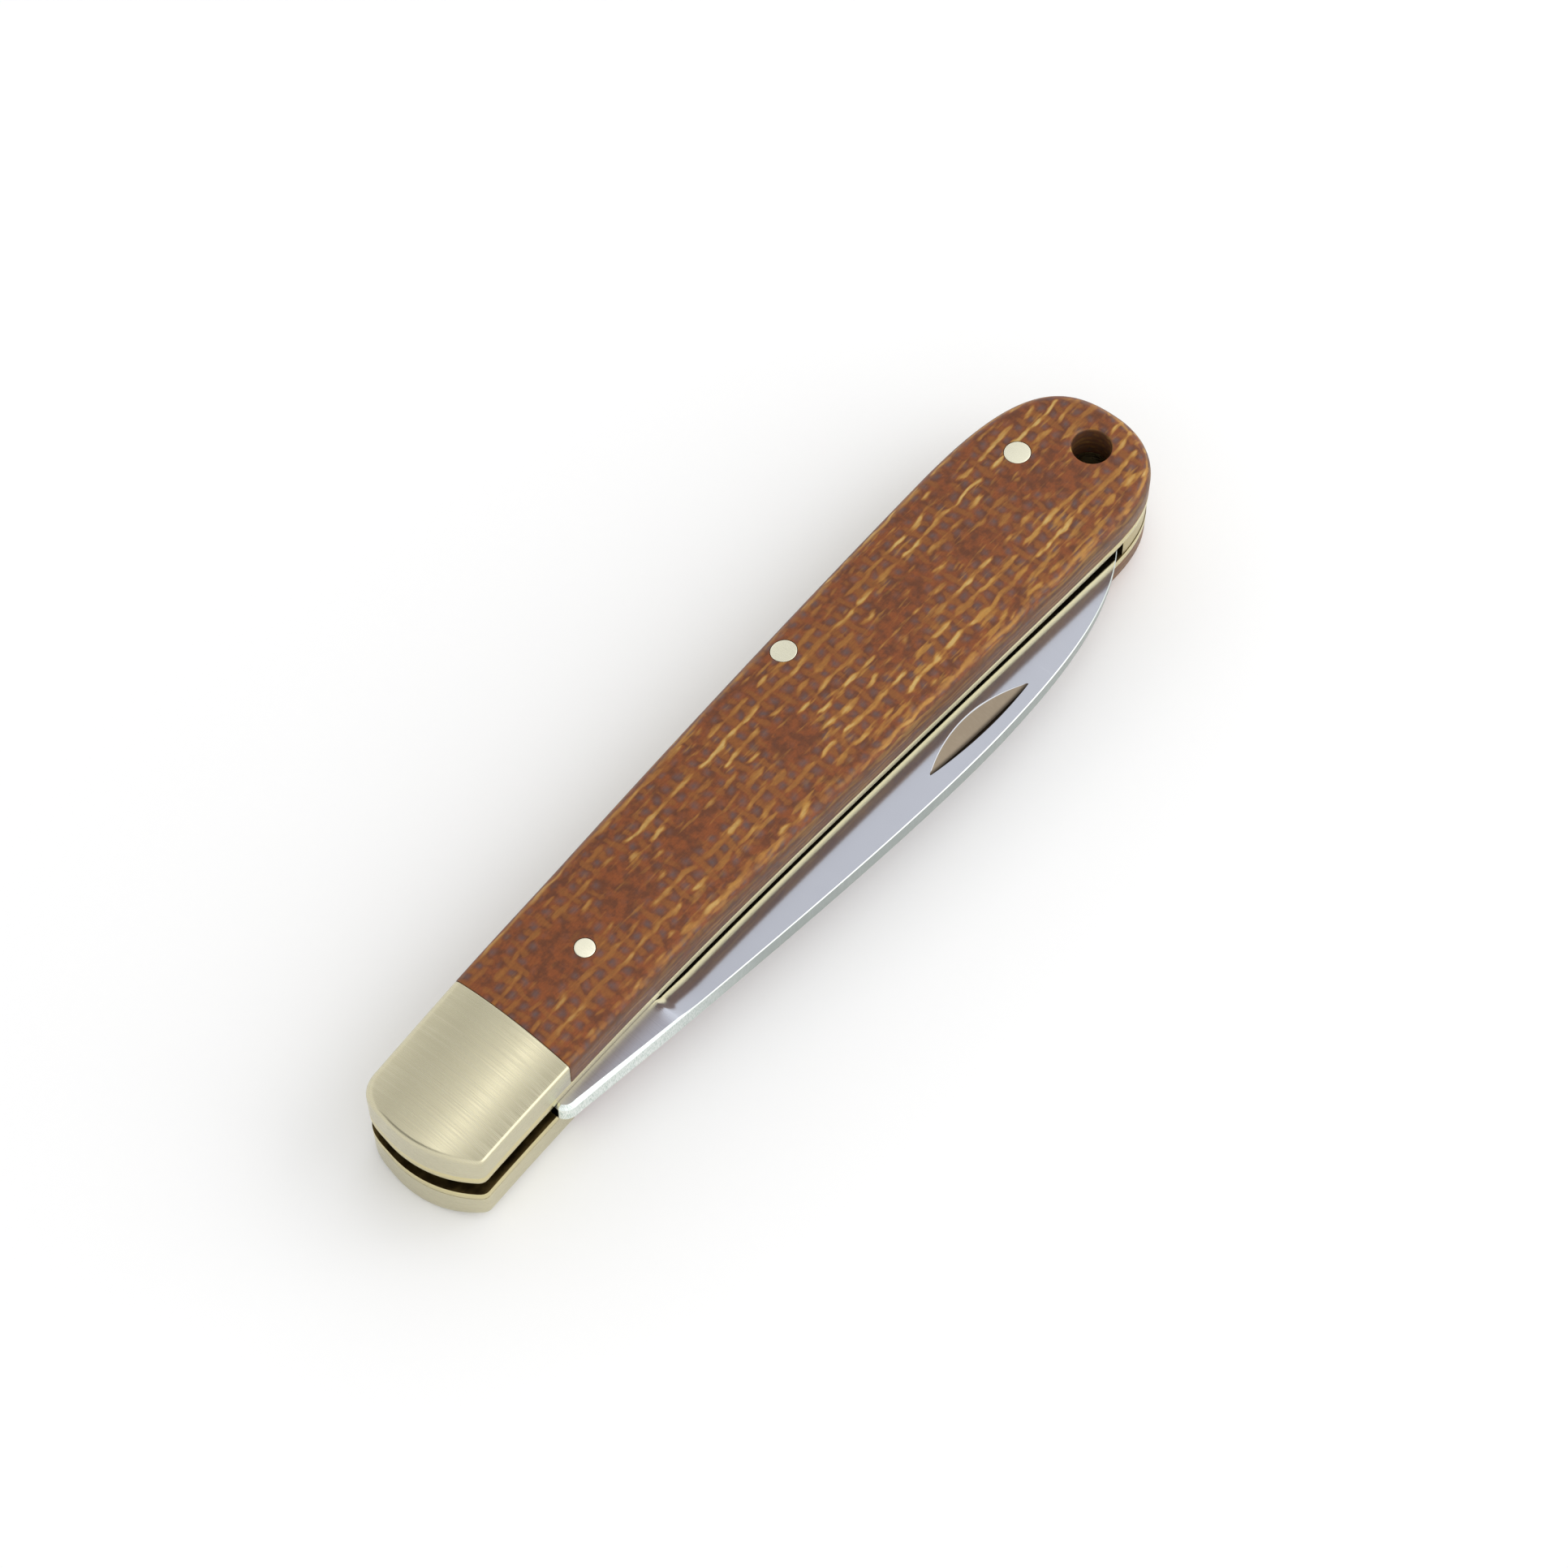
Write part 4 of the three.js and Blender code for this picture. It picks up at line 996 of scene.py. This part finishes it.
def makeBlade():
    steels = [metal["blade"], metal["spine"], metal["nick"]]
    piece = buildMesh("steel_blade", bladeRings(), materials=steels)
    steep = np.abs(faceNormals(piece)[:, 2]) < 0.93  # the spine, its bevels and the tang's edges
    giveSecond(piece, steep)
    carve(piece, [nickRings()], steels)
    carve(piece, [drill((0, 0), pins["tangHole"])], steels[:2])
    dress(piece, "blade", ["blade"], sharp=12, sideGrain="across")
    # the nick's painted shade and rim highlight, then the bevels' painted highlight
    paintNickShadeAndRim(piece.data)
    paintBevelHighlight()
    print("blade made")


# The grinding wheel that cuts the nail nick: its section, steep on the spine's side and shallow on the
# other, carried round the short arc that meets the blade.
def nickRings():
    width, depth, wall, top = (nick[key] for key in ("width", "depth", "wall", "wheelTop"))
    wheel = ((nick["length"] / 2) ** 2 + depth ** 2) / (2 * depth)
    shareY = (nick["y"] + blade["spineAtCrest"]) / (blade["spineAtCrest"] + tang["ricassoEdgeY"])
    spineZ = np.interp(nick["x"], *blade["spineThickness"]) / 2
    faceZ = spineZ + (blade["edgeThickness"] / 2 - spineZ) * shareY
    faceZ += blade["lean"] * (nick["x"] - blade["plungeX"]) / (tipX - blade["plungeX"])
    section = np.array([
        (-wall * 1.6, top), (-wall * 1.6, depth * 1.6), (-wall * 0.25, depth * 0.2),
        (-wall * 0.05, depth * 0.03), (width * 0.06, depth * 0.03), (width * 0.96, depth * 0.82),
        (width, depth), (width * 1.12, depth * 1.6), (width * 1.12, top)])
    angle = np.radians(np.linspace(-nick["wheelTurn"], nick["wheelTurn"], nick["stations"]))[:, None]
    radius = wheel - section[None, :, 1]
    along = radius * np.sin(angle)
    height = wheel - radius * np.cos(angle) + faceZ - depth
    across = np.broadcast_to(section[None, :, 0], along.shape)
    tilt = math.radians(nick["tilt"])
    x = nick["x"] + along * math.cos(tilt) - across * math.sin(tilt)
    y = nick["y"] + along * math.sin(tilt) + across * math.cos(tilt)
    return np.dstack([x, y, height])


# The nick's painted light: its wall is painted dark as shade, its floor gets painted shade near the wall, and
# where the floor comes up to the blade's face a thin painted highlight stands for a rim. The face's height is
# the plane through the nick's outline.
def paintNickShadeAndRim(mesh):
    corners = readMesh(mesh.loops, "vertex_index")
    nickFaces = readMesh(mesh.polygons, "material_index") == mesh.materials.find(metal["nick"].name)
    inNick = np.repeat(nickFaces, readMesh(mesh.polygons, "loop_total"))
    border = np.intersect1d(corners[inNick], corners[~inNick])
    points = (readMesh(mesh.vertices, "co", 3)[border] - pivot) / mm
    flat = np.column_stack([points[:, 0], points[:, 1], np.ones(len(points))])
    slopeX, slopeY, level = (float(term) for term in np.linalg.lstsq(flat, points[:, 2], rcond=None)[0])
    surface, floorColour = reopen(metal["nick"])
    x, y, z = parts(place())
    tilt = math.radians(nick["tilt"])
    across = add(times(x, -math.sin(tilt)), times(y, math.cos(tilt)))
    across = add(across, nick["x"] * math.sin(tilt) - nick["y"] * math.cos(tilt))
    below = minus(add(times(x, slopeX), times(y, slopeY), level), z)
    shaded = mixColour(remap(across, 0.0, nick["shade"]), nick["shadeColour"], floorColour)
    shaded = mixColour(remap(facingWays()[1], 0.10, 0.40), shaded, nick["wallShadeColour"])
    bright = times(remap(below, nick["rim"] * 0.6, nick["rim"], 1.0, 0.0), remap(across, 0.2, 0.4))
    fill(surface, {"Base Color": mixColour(bright, shaded, nick["rimHighlightColour"])})


# Beyond the tang the bevels beside the spine get a painted highlight in their base colour, which fades where
# the spine tapers to the tip.
def paintBevelHighlight():
    b = bevelShine
    surface, spineColour = reopen(metal["spine"])
    x = parts(place())[0]
    beyond = times(remap(x, b["startX"], b["endX"]), remap(x, b["fadeX"], b["goneX"], 1.0, b["leftOver"]))
    share = times(remap(upward(), 0.30, 0.45, 0.0, 0.75), beyond)
    fill(surface, {"Base Color": mixColour(share, spineColour, b["colour"])})


makeScales()
makeBolsters()
makeLiners()
makeSpring()
makePins()
makeBlade()

# The pieces that stay as packed are hidden inside, but finished all the same.
for name, obj in frame["nodes"].items():
    if name.startswith("bolster_rivet"):
        obj.data.materials.clear()
        obj.data.materials.append(metal["pin"])
        obj.data.uv_layers.new(name="brushing")


# Stage: a white sheet, an even white room, one light on the blade's side, and the camera. Each lobe of the
# room has a direction, the angles from it where the lobe is full and where it ends, and what it adds to
# the light, or takes away.
sheet = dict(size=4.0, tones=((0.94, 0.94, 0.94), (0.95, 0.95, 0.95)), grain=900.0, roughness=0.9)
room = dict(
    level=1.10, brightSide=(0.64, -0.768, 0.0), sideGain=0.10,
    lobes=(((0.384, 0.20, 0.911), 10, 40, -0.14), ((0.384, 0.120, 0.911), 2, 16, 0.48),
           ((0.384, 0.115, 0.916), 1, 6, 1.10), ((0.384, -0.20, 0.906), 3, 15, -0.36),
           ((0.384, 0.65, 0.67), 5, 20, -0.25), ((-0.30, 0.30, 0.90), 8, 32, -0.75)))
sideLight = dict(place=(0.48, -0.62, 0.48), size=0.9, power=2.6)
camera = dict(lens=92.24, elevation=60.0, turn=-50.2, place=(-154.46, -129.72, 354.64))


def addObject(name, data, place=(0, 0, 0)):
    made = bpy.data.objects.new(name, data)
    made.location = place
    bpy.context.scene.collection.objects.link(made)
    return made


def makeFloor():
    half = sheet["size"] / 2
    mesh = bpy.data.meshes.new("paper_sheet")
    corners = [(-half, -half, 0), (half, -half, 0), (half, half, 0), (-half, half, 0)]
    mesh.from_pydata(corners, [], [(0, 1, 2, 3)])
    material, surface = newMaterial("paper")
    grain = noise(node("ShaderNodeTexCoord").outputs["Object"], sheet["grain"], 3.0)
    fill(surface, {"Base Color": mixColour(grain, *sheet["tones"]), "Roughness": sheet["roughness"],
                   "Specular IOR Level": 0.1})
    mesh.materials.append(material)
    addObject("paper_sheet", mesh)


def makeRoom():
    world = bpy.data.worlds.new("studio")
    bpy.context.scene.world = world
    startTree(world)
    direction = node("ShaderNodeTexCoord").outputs["Generated"]

    def along(towards):  # the cosine of the angle between the ray and a direction
        made = node("ShaderNodeVectorMath", {0: direction, 1: towards}, operation="DOT_PRODUCT")
        return made.outputs["Value"]

    light = add(room["level"], times(along(room["brightSide"]), room["sideGain"]))
    for towards, full, gone, strength in room["lobes"]:
        cosine = along(tuple(Vector(towards).normalized()))
        lobe = remap(cosine, math.cos(math.radians(gone)), math.cos(math.radians(full)))
        light = add(light, times(lobe, strength))
    background = node("ShaderNodeBackground", {"Color": (1.0, 1.0, 1.0, 1.0), "Strength": light})
    node("ShaderNodeOutputWorld", {0: background.outputs[0]})


def makeLight():
    data = bpy.data.lights.new("side_box", "AREA")
    data.size = sideLight["size"]
    data.energy = sideLight["power"]
    light = addObject("side_box", data, sideLight["place"])
    light.rotation_euler = (-Vector(sideLight["place"])).to_track_quat("-Z", "Y").to_euler()


def makeCamera():
    data = bpy.data.cameras.new("camera")
    data.lens = camera["lens"]
    data.sensor_width = 36
    data.clip_start = 0.01
    view = addObject("camera", data, Vector(camera["place"]) * mm)
    view.rotation_euler = (math.radians(90 - camera["elevation"]), 0, math.radians(camera["turn"]))
    bpy.context.scene.camera = view


makeFloor()
makeRoom()
makeLight()
makeCamera()
bpy.context.scene.view_settings.view_transform = "Standard"
print("stage set")
